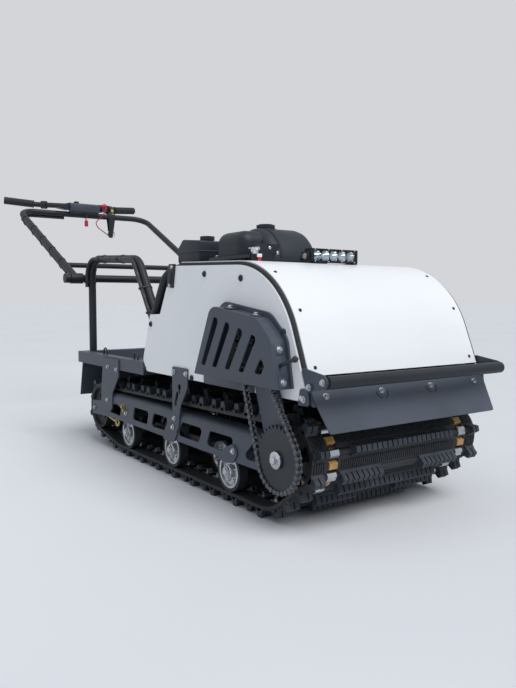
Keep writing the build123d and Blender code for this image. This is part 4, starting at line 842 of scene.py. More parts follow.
outer_link = joined(link_plate((4.6, 6), LINK_R), link_plate((-6, -4.6), LINK_R), *pins(2, 6.8))
inner_link = joined(link_plate((3, 4.4), LINK_R), link_plate((-4.4, -3), LINK_R), *pins(ROLLER_R, 3))
rivets = [on_loop(CHAIN, loop_length(CHAIN) * link / CHAIN_LINKS, chain_y).translation
          for link in range(CHAIN_LINKS)]
spots = []
for here, there in zip(rivets, rivets[1:] + rivets[:1]):
    way = there - here
    spots.append(facing((here + there) / 2, (-way.z, 0, way.x), way))
repeat("chain_outer_links", outer_link, spots[0::2], "chain_steel", "chain_loop")
repeat("chain_inner_links", inner_link, spots[1::2], "chain_steel")

# %% [markdown]
# The sprocket is a flat steel disc with hooked teeth that stand between the rollers. Its outline is one
# tooth's few points turned round the axle, in step with the chain, and a washer and nut hold it.

# %% Chain sprocket and its nut
start = on_loop(CHAIN, 0, chain_y).translation
phase = atan2(start.z - drive.z, start.x - drive.x)
SPROCKET_HALF = 2.5
TOOTH_POINTS = ((0, -ROLLER_R), (0.25, -2), (0.42, 4), (0.58, 4), (0.75, -2))
edge = []
for tooth in range(CHAIN_TEETH):
    for share, rise in TOOTH_POINTS:
        a = phase + tau * (tooth + share) / CHAIN_TEETH
        edge.append(((CHAIN_R + rise) * cos(a), (CHAIN_R + rise) * sin(a)))
disc = moved(standing(edge, -SPROCKET_HALF, SPROCKET_HALF), shift((drive.x, chain_y, drive.z)))
solid("chain_wheel", disc, "dark_steel", "chain_sprocket")
nut = joined(turned([(18, 0), (18, 2), (16.5, 3), (0, 3)], 28), turned([(12, 3), (12, 4.5), (0, 4.5)], 24),
             turned([(8.5, 4.5), (8.5, 9), (7.5, 10), (0, 10)], 6))
axle_end = box_of("drive_axle")[0].y
solid("hub_nut", moved(nut, facing((drive.x, axle_end, drive.z), (0, -1, 0))), "zinc_steel")

# %% [markdown]
# Each road wheel turns on a bolt: a turned cap closes the hub, and six small bolts hold the two halves
# of the rim together. Only the outer wheels need them, because the others are hidden by these.

# %% Wheel caps and rim bolts
dome = turned([(7.5, 0), (7.5, 1), (6.6, 3), (4.4, 4.6), (2.6, 5), (2.6, 3.4), (0, 3.4)], 14)
hexagon = joined(turned([(7, 0), (7, 1.2), (0, 1.2)], 18),
                 turned([(5.2, 1.2), (5.2, 4.6), (4.4, 5.4), (0, 5.4)], 6))
screw = turned([(4, 0), (3.8, 1), (2.6, 1.9), (1.2, 2), (1.2, 1.2), (0, 1.2)], 12)
WHEEL_X, WHEEL_Z = (109, 391, 673), 76
WHEEL_FACE, WEB_FACE, BOLT_RING, RIM_BOLTS = 249, 239.5, 25, 6
cap = joined(turned([(15, 0), (15, 2.5), (12.5, 4), (12.5, 7.5), (0, 7.5)], 24),
             turned([(8.5, 7.5), (8.5, 11), (7.5, 12), (0, 12)], 6))
hubs = [(x, WHEEL_Z) for x in WHEEL_X]
repeat("wheel_caps", cap, both_sides(hubs, WHEEL_FACE), "zinc_steel")
ring = arc(BOLT_RING, tau, RIM_BOLTS)[:-1]
rim_spots = [(x + dx, z + dz) for x, z in hubs for dx, dz in ring]
repeat("rim_bolts", hexagon, both_sides(rim_spots, WEB_FACE), "zinc_steel")

# %% [markdown]
# Between the wheel rows a beam on each side ties the three axles together and carries two more axles.
# Their wheels stand between the others and show through the windows of the rail. The beam is a flat
# bar cut as one plate, and each wheel is two turned parts: a rubber tyre and a dished rim.

# %% Axle beams and inner wheels
BEAM_Y, BEAM_THICK, BEAM_HALF, BEAM_PAST = 148, 4, 19, 24
INNER_X, INNER_Y, RIM_WEB = (243, 525), 166, 10
AXLE_R, BAY_FROM, BAY_TO, BAY_HALF = 9, 25, 85, 7
beam = round_rect((WHEEL_X[0] - BEAM_PAST, WHEEL_X[-1] + BEAM_PAST),
                  (WHEEL_Z - BEAM_HALF, WHEEL_Z + BEAM_HALF), BEAM_HALF - 1)
bays = [round_rect((x + BAY_FROM, x + BAY_TO), (WHEEL_Z - BAY_HALF, WHEEL_Z + BAY_HALF), BAY_HALF - 0.1)
        for x in INNER_X]
beams = [on_side(pierced(beam, bays, BEAM_Y, BEAM_Y + BEAM_THICK), side) for side in SIDES]
axle = turned([(0, -INNER_Y), (AXLE_R, -INNER_Y), (AXLE_R, INNER_Y), (0, INNER_Y)], 20)
axles = [moved(axle, facing((x, 0, WHEEL_Z), (0, 1, 0))) for x in INNER_X]
solid("axle_beams", joined(*beams, *axles), "dark_steel")
tyre = turned([(0, -8), (36, -8), (38, -12), (46, -12), (47.5, -9), (47.5, 9), (46, 12), (38, 12), (36, 8),
               (0, 8)], 40)
rim = turned([(0, 8), (36.5, 8), (37.5, 12.5), (35, 12.5), (33, RIM_WEB), (15, RIM_WEB), (14, 14), (8, 14),
              (7, 17), (0, 17)], 40)
inner = both_sides([(x, WHEEL_Z) for x in INNER_X], INNER_Y)
repeat("inner_tyres", tyre, inner, "black_rubber")
repeat("inner_rims", rim, inner, "alloy")
inner_ring = [spot @ shift((dx, dz, RIM_WEB)) for spot in inner for dx, dz in ring]
repeat("inner_bolts", hexagon, inner_ring, "zinc_steel")

# %% [markdown]
# The side rails are sheet steel with a rolled shoulder, pierced by leaning windows, with a tail that
# holds the rear axle. The web is drawn flat with its windows, as it would be cut before rolling, and
# the shoulder is one profile drawn out along the rail.

# %% Side rails
RAIL_X, RAIL_FOOT, RAIL_Y, FLANGE_Y, SHEET = (20, 832), 111, 266, 218, 4
ROLL_FROM, ROLL_R, ROLL_STEPS = 170, 18, 6
TAIL_X, TAIL_HALF = idler.x - 22, 22
WINDOW_Z, WINDOW_ROUND = (127, 165), 9
# Rear and front end of each window at its foot, and how far its head leans forward at each end
WINDOWS = ((178, 275, 14, 12), (300, 384, 18, 20), (451, 564, 30, 20), (600, 708, 18, 14), (755, 810, 42, 2))
# The opening behind them, through which the belt is tightened
REAR_OPENING = ((14, 126, 6), (88, 124, 8), (97, 150, 8), (62, 158, 8), (14, 150, 6))


def leaning(rear, front, rear_lean, front_lean):
    """The outline of a window whose head leans forward."""
    head_rear, head_front = rear + rear_lean, front + front_lean
    tight = min(WINDOW_ROUND, (head_front - head_rear) / 3)
    return rounded([(rear, WINDOW_Z[0], WINDOW_ROUND), (front, WINDOW_Z[0], WINDOW_ROUND),
                    (head_front, WINDOW_Z[1], tight), (head_rear, WINDOW_Z[1], tight)])


web = rounded([
    (TAIL_X, idler.z - TAIL_HALF, 12), (RAIL_X[0], RAIL_FOOT, 20), (RAIL_X[1], RAIL_FOOT, 3),
    (RAIL_X[1], ROLL_FROM, 1), (RAIL_X[0], ROLL_FROM, 1), (RAIL_X[0] - 6, 160, 3),
    (TAIL_X, idler.z + TAIL_HALF, 12),
])
openings = [leaning(*window) for window in WINDOWS] + [rounded(REAR_OPENING)]
outside, inside = [[(RAIL_Y - ROLL_R + y, ROLL_FROM + z) for y, z in arc(radius, pi / 2, ROLL_STEPS)]
                   for radius in (ROLL_R, ROLL_R - SHEET)]
flange_edge = [(FLANGE_Y, ROLL_FROM + ROLL_R), (FLANGE_Y, ROLL_FROM + ROLL_R - SHEET)]
shoulder = outside + flange_edge + inside[::-1]
rails = []
for side in SIDES:
    rails.append(on_side(pierced(web, openings, RAIL_Y - SHEET, RAIL_Y), side))
    rails.append(moved(prism([(side * y, z) for y, z in shoulder], *RAIL_X), TURN_TO_X))
solid("side_rails", joined(*rails), "graphite_sheet", "rail_right", "rail_left")

# %% [markdown]
# On top stands a blow-moulded fuel tank in a folded tray: a rounded box with a barrel across it, a welded
# seam round the foot, a rubber strap round the barrel and a scalloped cap. The barrel is turned, like the
# real mould.

# %% Fuel tank
tank_cap = centre_of("fuel_cap")
tank_low, tank_high = box_of("fuel_tank")
BOX_X, BOX_Y, BOX_TOP = (492, 622), (-176, 36), 646
BARREL_R, BARREL_Z, BARREL_FROM = 94, 563, -122
barrel = [(0, 0), (66, 1), (78, 4), (87, 10), (92, 18), (BARREL_R, 27), (BARREL_R, 128), (91, 140), (84, 149),
          (70, 156), (0, 158)]
TRAY_X, TRAY_Y, TRAY_Z, LIP, LIP_RISE = (486, 672), (-188, 52), (558, 576), 3, 7
on_barrel = facing((tank_cap.x, BARREL_FROM, BARREL_Z), (0, 1, 0))
on_neck = shift((tank_cap.x, tank_cap.y, tank_high.z))
tank = joined(
    soft_block(BOX_X, BOX_Y, (tank_low.z + 2, BOX_TOP), 30, 6),
    moved(turned(barrel, 64), on_barrel),
    soft_block((BOX_X[0] - 3, BOX_X[1] + 30), (BOX_Y[0] - 3, BOX_Y[1] + 3),
               (tank_low.z + 9, tank_low.z + 14), 2, 2),
    moved(turned([(26, -20), (26, -1), (0, -1)], 32), on_neck),
)
solid("tank_shell", tank, "black_plastic", "fuel_tank")
lips = [soft_block(TRAY_X, (y, y + LIP), (TRAY_Z[0], TRAY_Z[1] + LIP_RISE), 1, 2)
        for y in (TRAY_Y[0], TRAY_Y[1] - LIP)]
solid("tank_tray", joined(soft_block(TRAY_X, TRAY_Y, TRAY_Z, 1.5, 2), *lips), "black_tube")
strap = turned([(BARREL_R - 3, 32), (BARREL_R + 2, 32), (BARREL_R + 2, 40), (BARREL_R - 3, 40)], 64)
solid("tank_strap", moved(strap, on_barrel), "black_rubber")
filler = joined(prism(lobed(14, 24, 2.2), 1, 8), turned([(21, -1), (21, 1)], 24),
                turned([(20, 8), (17, 10), (0, 10)], 24))
solid("tank_cap", moved(filler, on_neck), "black_plastic", "fuel_cap")

# %% [markdown]
# Behind the tank is the air filter: a moulded box with a chamfered lid, a parting line and a knob that
# screws the lid down. A duct leads from it to the engine.

# %% Air filter
low, high = box_of("air_filter")
FILTER_X, FILTER_KNOB_R = (322, 441), 20
profile = [(FILTER_X[0], 576), (FILTER_X[1], 576), (FILTER_X[1], 632), (348, 640), (FILTER_X[0], 618)]
box = soft(standing(profile, low.y, high.y), 5, 3)
filter_mid = Vector(((FILTER_X[0] + FILTER_X[1]) / 2, (low.y + high.y) / 2, 0))
knob = joined(prism(lobed(10, FILTER_KNOB_R, 2.4), 638, high.z - 1), turned([(15, 634), (15, 639)], 20),
              turned([(12, high.z - 1), (10, high.z), (0, high.z)], 20))
lid_seam = soft_block((FILTER_X[0] - 1.5, FILTER_X[1] + 1.5), (low.y - 1.5, high.y + 1.5), (602, 606), 1.4, 2)
duct = soft_block((FILTER_X[1] - 6, high.x), (filter_mid.y - 18, filter_mid.y + 18), (low.z + 1, 592), 5, 3)
clamp = slab((FILTER_X[1] + 8, FILTER_X[1] + 18), (filter_mid.y - 19.5, filter_mid.y + 19.5), (low.z, 593.5))
filter_box = joined(box, lid_seam, duct, moved(knob, shift(filter_mid)))
solid("filter_box", filter_box, "black_plastic", "air_filter")
solid("filter_clamp", soft(clamp, 2, 2), "zinc_steel")

# %% [markdown]
# A small folded plate stands in front of the tank and carries the key switch: a chromed barrel with the
# key in it and a tag on the key.

# %% Switch plate and key
low, high = box_of("switch_plate")
plate_x = high.x - 3
outline = [(-195, low.z), (-143, low.z), (-121, high.z), (-191, high.z)]
plate = joined(
    soft(moved(prism(outline, plate_x, high.x), TURN_TO_X), 1, 2),
    soft_block((plate_x - 13, high.x), (-191, -121), (high.z - 2.5, high.z), 1, 2),
    soft_block((plate_x - 24, high.x), (-190, -146), (low.z - 0.5, low.z + 2.5), 1, 2),
    moved(turned([(11, 0), (11, 14), (9, 16), (0, 16)], 20), facing((plate_x, -156, low.z + 26), (-1, 0, 0))),
    soft_block((plate_x - 3, plate_x + 1), (-200, -188), (low.z, high.z - 8), 1, 2),
)
solid("switch_panel", plate, "black_tube", "switch_plate")
key_at = Vector((high.x + 1, -197, 589))
key = joined(turned([(7, 0), (7, 3), (5.5, 5), (5, 9), (0, 9)], 20), slab((-1, 1), (-5, 5), (9, 20)),
             slab((-8, 8), (-9, 2), (-3, 0)))
solid("switch_key", moved(key, facing(key_at, (0.5, -0.85, 0.2))), "mirror_chrome")
tag_at = Vector((high.x + 2, -183, 574))
tag = [soft_block((-1.5, 1.5), (-7, 7), (0, 8), 1, 2), soft_block((-1.2, 1.2), (-5, 5), (-10, 0.5), 1, 2)]
solid("key_tag", moved(tag[0], shift(tag_at)), "white_sheet")
solid("tag_tail", moved(tag[1], shift(tag_at)), "red_plastic")
plate_spots = [facing((high.x, y, z), (1, 0, 0)) for y, z in ((-184, 594), (-129, 586), (-152, 597))]
repeat("plate_bolts", screw, plate_spots, "zinc_steel")

# %% [markdown]
# The lamp bar is a finned black housing, open in front, that hangs between two ears bolted to the hood.
# The real one is an extrusion with end plates; here four walls, a back and thin fins make it up.

# %% Lamp bar
EAR = 3
low, high = box_of("light_bar")
lens_low, lens_high = box_of("light_lens")
sides_y = (low.y + EAR, high.y - EAR)
LAMP_CELLS, CELL_DEPTH, BEZEL, FINS = 5, 20, 3, 5
foot_z = lens_low.z - 4
back_x = high.x - CELL_DEPTH - BEZEL
walls = ((sides_y, (lens_high.z, high.z)), (sides_y, (foot_z, lens_low.z)),
         ((sides_y[0], lens_low.y), (foot_z, high.z)), ((lens_high.y, sides_y[1]), (foot_z, high.z)))
housing = [soft_block((back_x, high.x), y, z, 1.5, 2) for y, z in walls]
housing.append(slab((back_x - 6, back_x), (sides_y[0] + 2, sides_y[1] - 2), (foot_z + 1, high.z - 1)))
housing += [slab((low.x + 1, back_x - 5), (sides_y[0] + 4, sides_y[1] - 4), (z, z + 2))
            for z in [foot_z + 4 + i * 5 for i in range(FINS)]]
ear = standing([(low.x, low.z), (high.x - 4, low.z), (high.x - 12, foot_z + 24), (low.x + 10, foot_z + 24)],
               0, EAR)
for y in (low.y, high.y - EAR):
    housing.append(soft(moved(ear, shift((0, y, 0))), 1, 2))
for y in (low.y, high.y - 16):
    housing.append(soft_block((low.x, high.x - 4), (y, y + 16), (low.z, low.z + 2.5), 1, 2))
solid("lamp_bar", joined(*housing), "lamp_housing", "light_bar")

# %% [markdown]
# Behind the clear front each diode sits at the bottom of a bright round dish. The dish is turned once and
# set in each cell, stretched to fill it, so that it mirrors the studio as the pressed metal would.

# %% Lamp dishes and front
cell_width = (lens_high.y - lens_low.y) / LAMP_CELLS
cell_height = lens_high.z - lens_low.z
CELL = 28
cell = turned([(0, 0), (3.4, 0), (6, 2), (9.5, 6), (12, 11), (13.3, 15.5), (13.8, 15.5), (13.8, -0.5),
               (0, -0.5)], 20)
cells = [facing((back_x + 1, lens_low.y + (i + 0.5) * cell_width, (lens_low.z + lens_high.z) / 2), (1, 0, 0))
         for i in range(LAMP_CELLS)]
repeat("lamp_reflectors", cell, [(spot, (cell_height / CELL, cell_width / CELL, 1)) for spot in cells],
       "mirror_chrome")
die = joined(soft_block((-2.4, 2.4), (-2.4, 2.4), (0.5, 2.4), 0.6, 2), turned([(3.6, -0.5), (3.6, 1)], 12))
repeat("lamp_dies", die, cells, "lamp_phosphor")
window = soft_block((high.x - 3.2, high.x - 0.8), (lens_low.y, lens_high.y), (lens_low.z, lens_high.z),
                    0.6, 2)
solid("lamp_window", window, "lamp_lens", "light_lens")
lamp_screws = [(facing((high.x - 0.3, y, z), (1, 0, 0)), (0.45, 0.45, 0.6)) for y in (-62, -21, 21, 62)
               for z in (lens_low.z - 2, lens_high.z + 2)]
ear_bolts = [facing((high.x - 22, y, foot_z + 14), (0, y, 0)) for y in (low.y, high.y)]
repeat("lamp_screws", screw, lamp_screws, "zinc_steel")
repeat("lamp_bolts", hexagon, ear_bolts, "zinc_steel")

# %% [markdown]
# On the bow, the grips are ribbed rubber sleeves and the stop switch has a ridged red cap, both turned.
# A yellow rocker marks the light switch.

# %% Grips and switches
GRIP_END, GRIP_WAY = Vector((-1042, 297, 905)), Vector((-42, 125, 12))
GRIP_LONG, GRIP_PAST, RIDGES = 118, 4, 13
profile = [(12, -GRIP_LONG), (17, -GRIP_LONG), (17.5, -GRIP_LONG + 3), (14.6, -GRIP_LONG + 6)]
for ridge in range(RIDGES):
    at = -GRIP_LONG + 9 + ridge * 8
    profile += [(14.6, at), (16, at + 1.2), (16, at + 4.6), (14.6, at + 5.8)]
profile += [(14.6, -5), (16, -3), (16, 2), (14, GRIP_PAST), (0, GRIP_PAST)]
mirror = Vector((1, -1, 1))
grip_places = [facing(GRIP_END, GRIP_WAY), facing(GRIP_END * mirror, GRIP_WAY * mirror)]
repeat("grip_sleeves", turned(profile, 28), grip_places, "black_rubber", "grips", body="bow")

low, high = box_of("kill_cap")
profile = [(7, 0), (7, 2)]
for ridge in range(4):
    profile += [(12, 3 + ridge * 5), (12, 5.4 + ridge * 5), (8, 7 + ridge * 5)]
profile += [(8, 23.5), (5.5, 25), (0, 25)]
at_switch = facing((low.x, (low.y + high.y) / 2, (low.z + high.z) / 2), (1, 0, 0))
solid("kill_button", moved(turned(profile, 24), at_switch), "red_plastic", "kill_cap", body="bow")

SWITCH_OUT = Vector((0.755, 0.652, 0))
switch_at = Vector((-979, 147, 887)) + SWITCH_OUT * 18.5
rocker = joined(soft_block((-6, 6), (-10, 10), (-1, 3), 1.4, 3),
                soft_block((-5, 1), (-9, 9), (2, 4.5), 0.8, 2))
solid("light_rocker", moved(rocker, facing(switch_at, SWITCH_OUT)), "yellow_plastic", body="bow")

# %% [markdown]
# A folded steel case on the bow carries the switches. Its side view is drawn once and serves for the case
# and, a little smaller, for the dark moulded cheeks that close its ends. A dark wedge tapers off to the
# right of it, and a black strip under the case paints the shade on its lower fold.

# %% Dash
low, high = box_of("dash_box")
CHEEK_X, CHEEK_Z, CHEEK_INSET, WEDGE = -885, 878, 0.08, 54
profile = [(high.x - 6, 858), (high.x - 2, 887), (high.x - 14, 893), (low.x + 1, 897), (low.x + 8, 889),
           (-874, 858)]
solid("dash_case", soft(standing(profile, low.y, high.y), 1.6, 2), "graphite_sheet", "dash_box", body="bow")
# A black strip along the case's lower fold: painted shade, not a real part.
shade_strip = standing([(high.x - 8, 860), (-870, 848), (-875, 848), (-880, 860)], low.y + 3, high.y - 3)
pilot = moved(turned([(11, 890), (11, 900), (9.5, 902), (0, 902)], 20), shift((-879, -40, 0)))
cheek = [(x + (CHEEK_X - x) * CHEEK_INSET, z + (CHEEK_Z - z) * CHEEK_INSET) for x, z in profile]
cheeks = [standing(cheek, y - 1, y + 1) for y in (low.y, high.y)]
wedge = prism([(low.y + 1, 894), (low.y + 1, 864), (low.y - WEDGE, 872)], low.x + 10, high.x - 12)
trim = [soft(shape, 0.6, 2) for shape in (*cheeks, moved(wedge, TURN_TO_X))]
solid("dash_trim", joined(pilot, shade_strip, *trim), "black_plastic", body="bow")

# %% [markdown]
# A loop of webbing hangs over the bar and holds the ring of the lanyard. Webbing keeps its width and
# bends only one way, so it is a thin band that follows a loop round the bar and the ring. It narrows a
# little and is drawn aside towards the cord, as in the photograph.

# %% Wrist strap, ring and tag
low, high = box_of("wrist_strap")
bar_r, foot_r = (high.x - low.x) / 2 - 1, 5
WEB_HALF, WEB_STEPS, WEB_GATHER, WEB_ASIDE = (high.y - low.y) / 2 + 5, 72, 0.42, -2
web_foot = box_of("snap_ring")[0].z - 2
strap_x = (low.x + high.x) / 2
STRAP = runs_of([(strap_x, web_foot + 1 + foot_r, foot_r), (strap_x, high.z - 1 - bar_r, bar_r)])
corners = []
for step in range(WEB_STEPS):
    for across, rise in ((-WEB_HALF, -1), (WEB_HALF, -1), (WEB_HALF, 1), (-WEB_HALF, 1)):
        spot = on_loop(STRAP, loop_length(STRAP) * step / WEB_STEPS, 0, rise).translation
        drop = (high.z - spot.z) / (high.z - web_foot)
        spot.y = (low.y + high.y) / 2 + WEB_ASIDE * drop + across * (1 + (WEB_GATHER - 1) * drop)
        corners.append(tuple(spot))
solid("wrist_loop", (corners, band_faces(WEB_STEPS)), "webbing", "wrist_strap", body="bow")

low, high = box_of("snap_ring")
WIRE_R = 2
wire = [((low.x + high.x) / 2, y, z) for y, z in
        round_rect((low.y + WIRE_R, high.y - WIRE_R), (low.z + WIRE_R, high.z - WIRE_R), 8)]
solid("lanyard_ring", tube(wire, WIRE_R, 10, closed=True), "zinc_steel", "snap_ring", body="bow")

TAG_Y, TAG_TOP, TAG_STEPS = 4, 822, 40
hanger = runs_of([(strap_x + 4, TAG_TOP, 1.5), (strap_x, 846, bar_r + 0.4)])
loop = [on_loop(hanger, loop_length(hanger) * i / TAG_STEPS, TAG_Y).translation for i in range(TAG_STEPS)]
leaf = soft_block((strap_x + 2, strap_x + 6), (TAG_Y - 8, TAG_Y + 8), (TAG_TOP - 24, TAG_TOP + 2), 1.4, 2)
solid("spare_tag", joined(tube(loop, 1.3, 8, closed=True), leaf), "red_plastic", body="bow")

# %% [markdown]
# Bolts of three kinds hold it together: black dome heads on the white panels, zinc hexagon heads with
# washers on the frame, and small black screws round the hood. The same tree sets them all. Round the two
# middle bolts of the front flap, curved slits are cut in the rubber; dark slips let into it paint the shade
# in the cuts.

# %% Bolts on the panels and the frame
PANEL_Y, HANGER_Y = 266, 270
PANEL_BOLTS = ((597, 537), (753, 523), (307, 410), (266, 284), (533, 283), (908, 411))
HANGER_BOLTS = ((9, 268), (75, 265), (2, 164), (446, 291), (510, 291), (447, 170), (438, 146))
RAIL_BOLTS = ((133, 139), (1028, 321), (967, 286), (-115, 125))
PLATE_BOLTS = ((976, 284), (992, 309), (726, 136))
FLAP_X, FLAP_Z, FLAP_OUT, FLAP_THICK = 991.4, 287, Vector((0.868, 0, 0.494)), 3
FLAP_BOLTS = (-228, -77, 74, 224)
flap_spots = [facing(Vector((FLAP_X, y, FLAP_Z)) + FLAP_OUT * FLAP_THICK, FLAP_OUT) for y in FLAP_BOLTS]
repeat("panel_bolts", dome, both_sides(PANEL_BOLTS, PANEL_Y), "black_plastic")
frame_spots = both_sides(HANGER_BOLTS, HANGER_Y) + both_sides(RAIL_BOLTS, PANEL_Y)
frame_spots += flap_spots + both_sides(PLATE_BOLTS, HANGER_Y)
repeat("frame_bolts", hexagon, frame_spots, "zinc_steel")
SLIT_R, SLIT_WIDE, SLIT_STEPS, SLIT_SWEEP, SLIT_STARTS = 18, 2.4, 8, radians(72), (92, 196)
slit = arc(SLIT_R, SLIT_SWEEP, SLIT_STEPS) + arc(SLIT_R - SLIT_WIDE, SLIT_SWEEP, SLIT_STEPS)[::-1]
slit_spots = [spot @ Matrix.Rotation(radians(start), 4, "Z") for spot in flap_spots[1:3]
              for start in SLIT_STARTS]
# Dark slips where the slits are: painted shade inside the cuts.
repeat("flap_slits", prism(slit, -2, 0.6), slit_spots, "black_rubber")

# %% [markdown]
# The chain guard is a folded box with a flange, open below for the chain. A rounded outline serves
# three times: as the slotted face, as the wall round it and as the flange. Behind the slots a black
# sheet paints the shade inside the box.

# %% Chain guard
GUARD_FACE, GUARD_SKIN, FLANGE_REACH, FLANGE_THICK = 302, 3, 11, 4
GUARD = [(608, 304, 2), (682, 463, 30), (862, 439, 46), (914, 394, 34), (931, 299, 2)]
SLOT_HEADS = ((708, 438), (756, 428), (806, 417), (855, 405))
SLOT_FEET = ((650, 327), (699, 326), (752, 325), (806, 324))
LAST_SLOT = ((853, 325, 4), (880, 325, 6), (890, 342, 5), (879, 361, 6))
SLOT_HALF, CORNER_POINTS = 11, 7
guard = rounded(GUARD)
slots = [rounded([(fx - SLOT_HALF, fz, 3), (fx + SLOT_HALF - 3, fz, 4), (hx + SLOT_HALF, hz - 4, 9),
                  (hx - SLOT_HALF, hz, 5)])
         for (hx, hz), (fx, fz) in zip(SLOT_HEADS, SLOT_FEET)]
slots.append(rounded(LAST_SLOT))
guard_path = [GUARD[0][:2], *guard[CORNER_POINTS:-CORNER_POINTS], GUARD[-1][:2]]
wall = guard_path + beside(guard_path, -GUARD_SKIN)[::-1]
flange = beside(guard_path, FLANGE_REACH) + beside(guard_path, -1)[::-1]
shell = joined(
    pierced(guard, slots, GUARD_FACE - GUARD_SKIN, GUARD_FACE),
    pierced(wall, [], PANEL_Y, GUARD_FACE - GUARD_SKIN + 0.5),
    pierced(flange, [], PANEL_Y, PANEL_Y + FLANGE_THICK),
)
solid("chain_guard", on_side(shell), "graphite_sheet", "chain_cover")
# A black sheet behind the slots: painted shade inside the guard, not a real lining.
shade_backing = pierced(beside(guard_path, -GUARD_SKIN - 1), [], PANEL_Y, PANEL_Y + 1.5)
solid("guard_lining", on_side(shade_backing), "black_plastic")
# Where each bolt of the guard's wall stands and where it looks
WALL_Y, TAB_THICK = -284, 2
WALL_BOLTS = (((916, 377), (0.97, 0.24)), ((928.5, 312), (0.98, 0.18)),
              ((738, 457), (0.13, 0.99)), ((836, 443), (0.13, 0.99)))
wall_spots = [facing((x, WALL_Y, z), (out[0], 0, out[1]), (0, 1, 0)) for (x, z), out in WALL_BOLTS]
repeat("guard_tabs", soft_block((-10, 10), (-11, 11), (-1, TAB_THICK), 1, 2), wall_spots, "graphite_sheet")
guard_spots = [spot @ shift((0, 0, TAB_THICK)) for spot in wall_spots]
repeat("guard_bolts", hexagon, guard_spots, "zinc_steel")

# %% [markdown]
# The hood's screws follow its bend. The bend is worked out again from the two slopes and the radius of
# the sheet, so that each screw stands square on the surface.

# %% Screws on the hood
HOOD_BEND, HOOD_R = (radians(1.9), radians(68.7)), 230
HOOD_TOP, HOOD_FOOT, SCREW_Y = 572, 328, 236
low, high = box_of("hood_sheet")
front_way = Vector((cos(HOOD_BEND[1]), 0, -sin(HOOD_BEND[1])))
run = high.x - low.x - (HOOD_TOP - HOOD_FOOT) / tan(HOOD_BEND[1])
run /= 1 - tan(HOOD_BEND[0]) / tan(HOOD_BEND[1])
hood_corner = Vector((low.x + run, 0, HOOD_TOP - run * tan(HOOD_BEND[0])))
bend_end = hood_corner + front_way * HOOD_R * tan((HOOD_BEND[1] - HOOD_BEND[0]) / 2)
hood_middle = bend_end - Vector((sin(HOOD_BEND[1]), 0, cos(HOOD_BEND[1]))) * HOOD_R


def on_hood(slope, down, y):
    """A place on the hood: on its bend at a slope, or so far down its front."""
    out = Vector((sin(slope), 0, cos(slope)))
    point = hood_middle + out * HOOD_R + front_way * down
    return facing((point.x, y, point.z), out)


hood_spots = [on_hood(radians(slope), down, side * SCREW_Y) for side in SIDES
              for slope, down in ((29, 0), (58, 0), (68.7, 79))]
repeat("hood_screws", screw, hood_spots, "black_plastic")

# %% [markdown]
# Thin plates in the frame's own finish: brackets at the rear corners of the panels, a skirt below the
# chain guard and the handle that holds it shut, the arms of the front road wheels outside the rail, and
# the hinge plates of the flap. They are cut flat and then stood up against the side.

# %% Brackets, skirt, handle and arms
BRACKET = [(409, 509), (442, 506), (454, 567), (421, 568)]
PAD = [(419, 520), (436, 518), (441, 546), (424, 548)]
BRACKET_BOLTS, BRACKET_THICK = ((425, 513), (438, 559)), 4
brackets = []
for side in SIDES:
    at = shift((0, side * (PANEL_Y + BRACKET_THICK / 2), 0))
    brackets.append(soft(moved(standing(BRACKET, -BRACKET_THICK / 2, BRACKET_THICK / 2), at), 1, 2))
    brackets.append(soft(moved(standing(PAD, -5, 5), at), 1.5, 2))
solid("panel_brackets", joined(*brackets), "black_tube")
skirt = standing(round_rect((596, 806), (277, 302), 5, 3), -PANEL_Y - 4, -PANEL_Y)
solid("cover_skirt", soft(skirt, 0.8, 2), "graphite_sheet")
bracket_spots = [(spot, (0.7, 0.7, 0.7)) for spot in both_sides(BRACKET_BOLTS, PANEL_Y + BRACKET_THICK)]
repeat("bracket_bolts", dome, bracket_spots, "zinc_steel")
HANDLE = [(920, -286, 345), (935, -287, 350), (952, -287, 356), (970, -286, 362)]
ball = turned([(0, -7), (4, -6), (6.5, -2), (6.5, 2), (4, 6), (0, 7)], 16)
handle = joined(tube(HANDLE, 4, 12), moved(ball, facing(HANDLE[-1], (0.96, 0, 0.25))))
solid("cover_handle", handle, "dark_steel")
ARM_THICK = 3.5
ARM = [(660, 106, 8), (690, 104, 12), (724, 108, 10), (745, 138, 12), (722, 152, 12), (690, 138, 10),
       (664, 120, 8)]
HINGE = [(958, 270, 3), (990, 272, 5), (986, 304, 6), (964, 304, 6)]
arm, hinge = [pierced(rounded(plate), [], PANEL_Y, PANEL_Y + ARM_THICK) for plate in (ARM, HINGE)]
next_arm = moved(arm, shift((WHEEL_X[1] - WHEEL_X[2], 0, 0)))
plates = [on_side(plate, side) for side in SIDES for plate in (arm, next_arm, hinge)]
solid("wheel_arms", joined(*plates), "graphite_sheet")

# %% [markdown]
# The belt is tightened by a threaded eye bolt at the rear of each rail, with a passivated, golden nut. On
# the rack, wire eyes take the lashing straps.

# %% Tensioners and lashing eyes
TENSION_Y, EYE_X, EYE_Z, EYE_RING = 258, 52, 100, 11
NUT_SPOTS, NUT_SIZE = ((112, 156), (122, 147)), (1.2, 1.2, 1.3)
eye = [(EYE_X + x, 0, EYE_Z + z) for x, z in arc(EYE_RING, tau, 24)[:-1]]
bolt = joined(tube(eye, 4, 8, closed=True), tube([(-70, 0, 118), (-10, 0, 109), (42, 0, 101)], 5, 10))
bolts = [moved(bolt, shift((0, side * TENSION_Y, 0))) for side in SIDES]
solid("tension_bolts", joined(*bolts), "golden_zinc")
golden = [(spot, NUT_SIZE) for spot in both_sides(NUT_SPOTS, PANEL_Y)]
repeat("tension_nuts", hexagon, golden, "golden_zinc")
LASH_X, LASH_Y, LASH_FOOT, LASH_R = (-56, 175), 251, 300, 13
hoop = [(x, 0, 9 + z) for x, z in arc(LASH_R, pi, 10)]
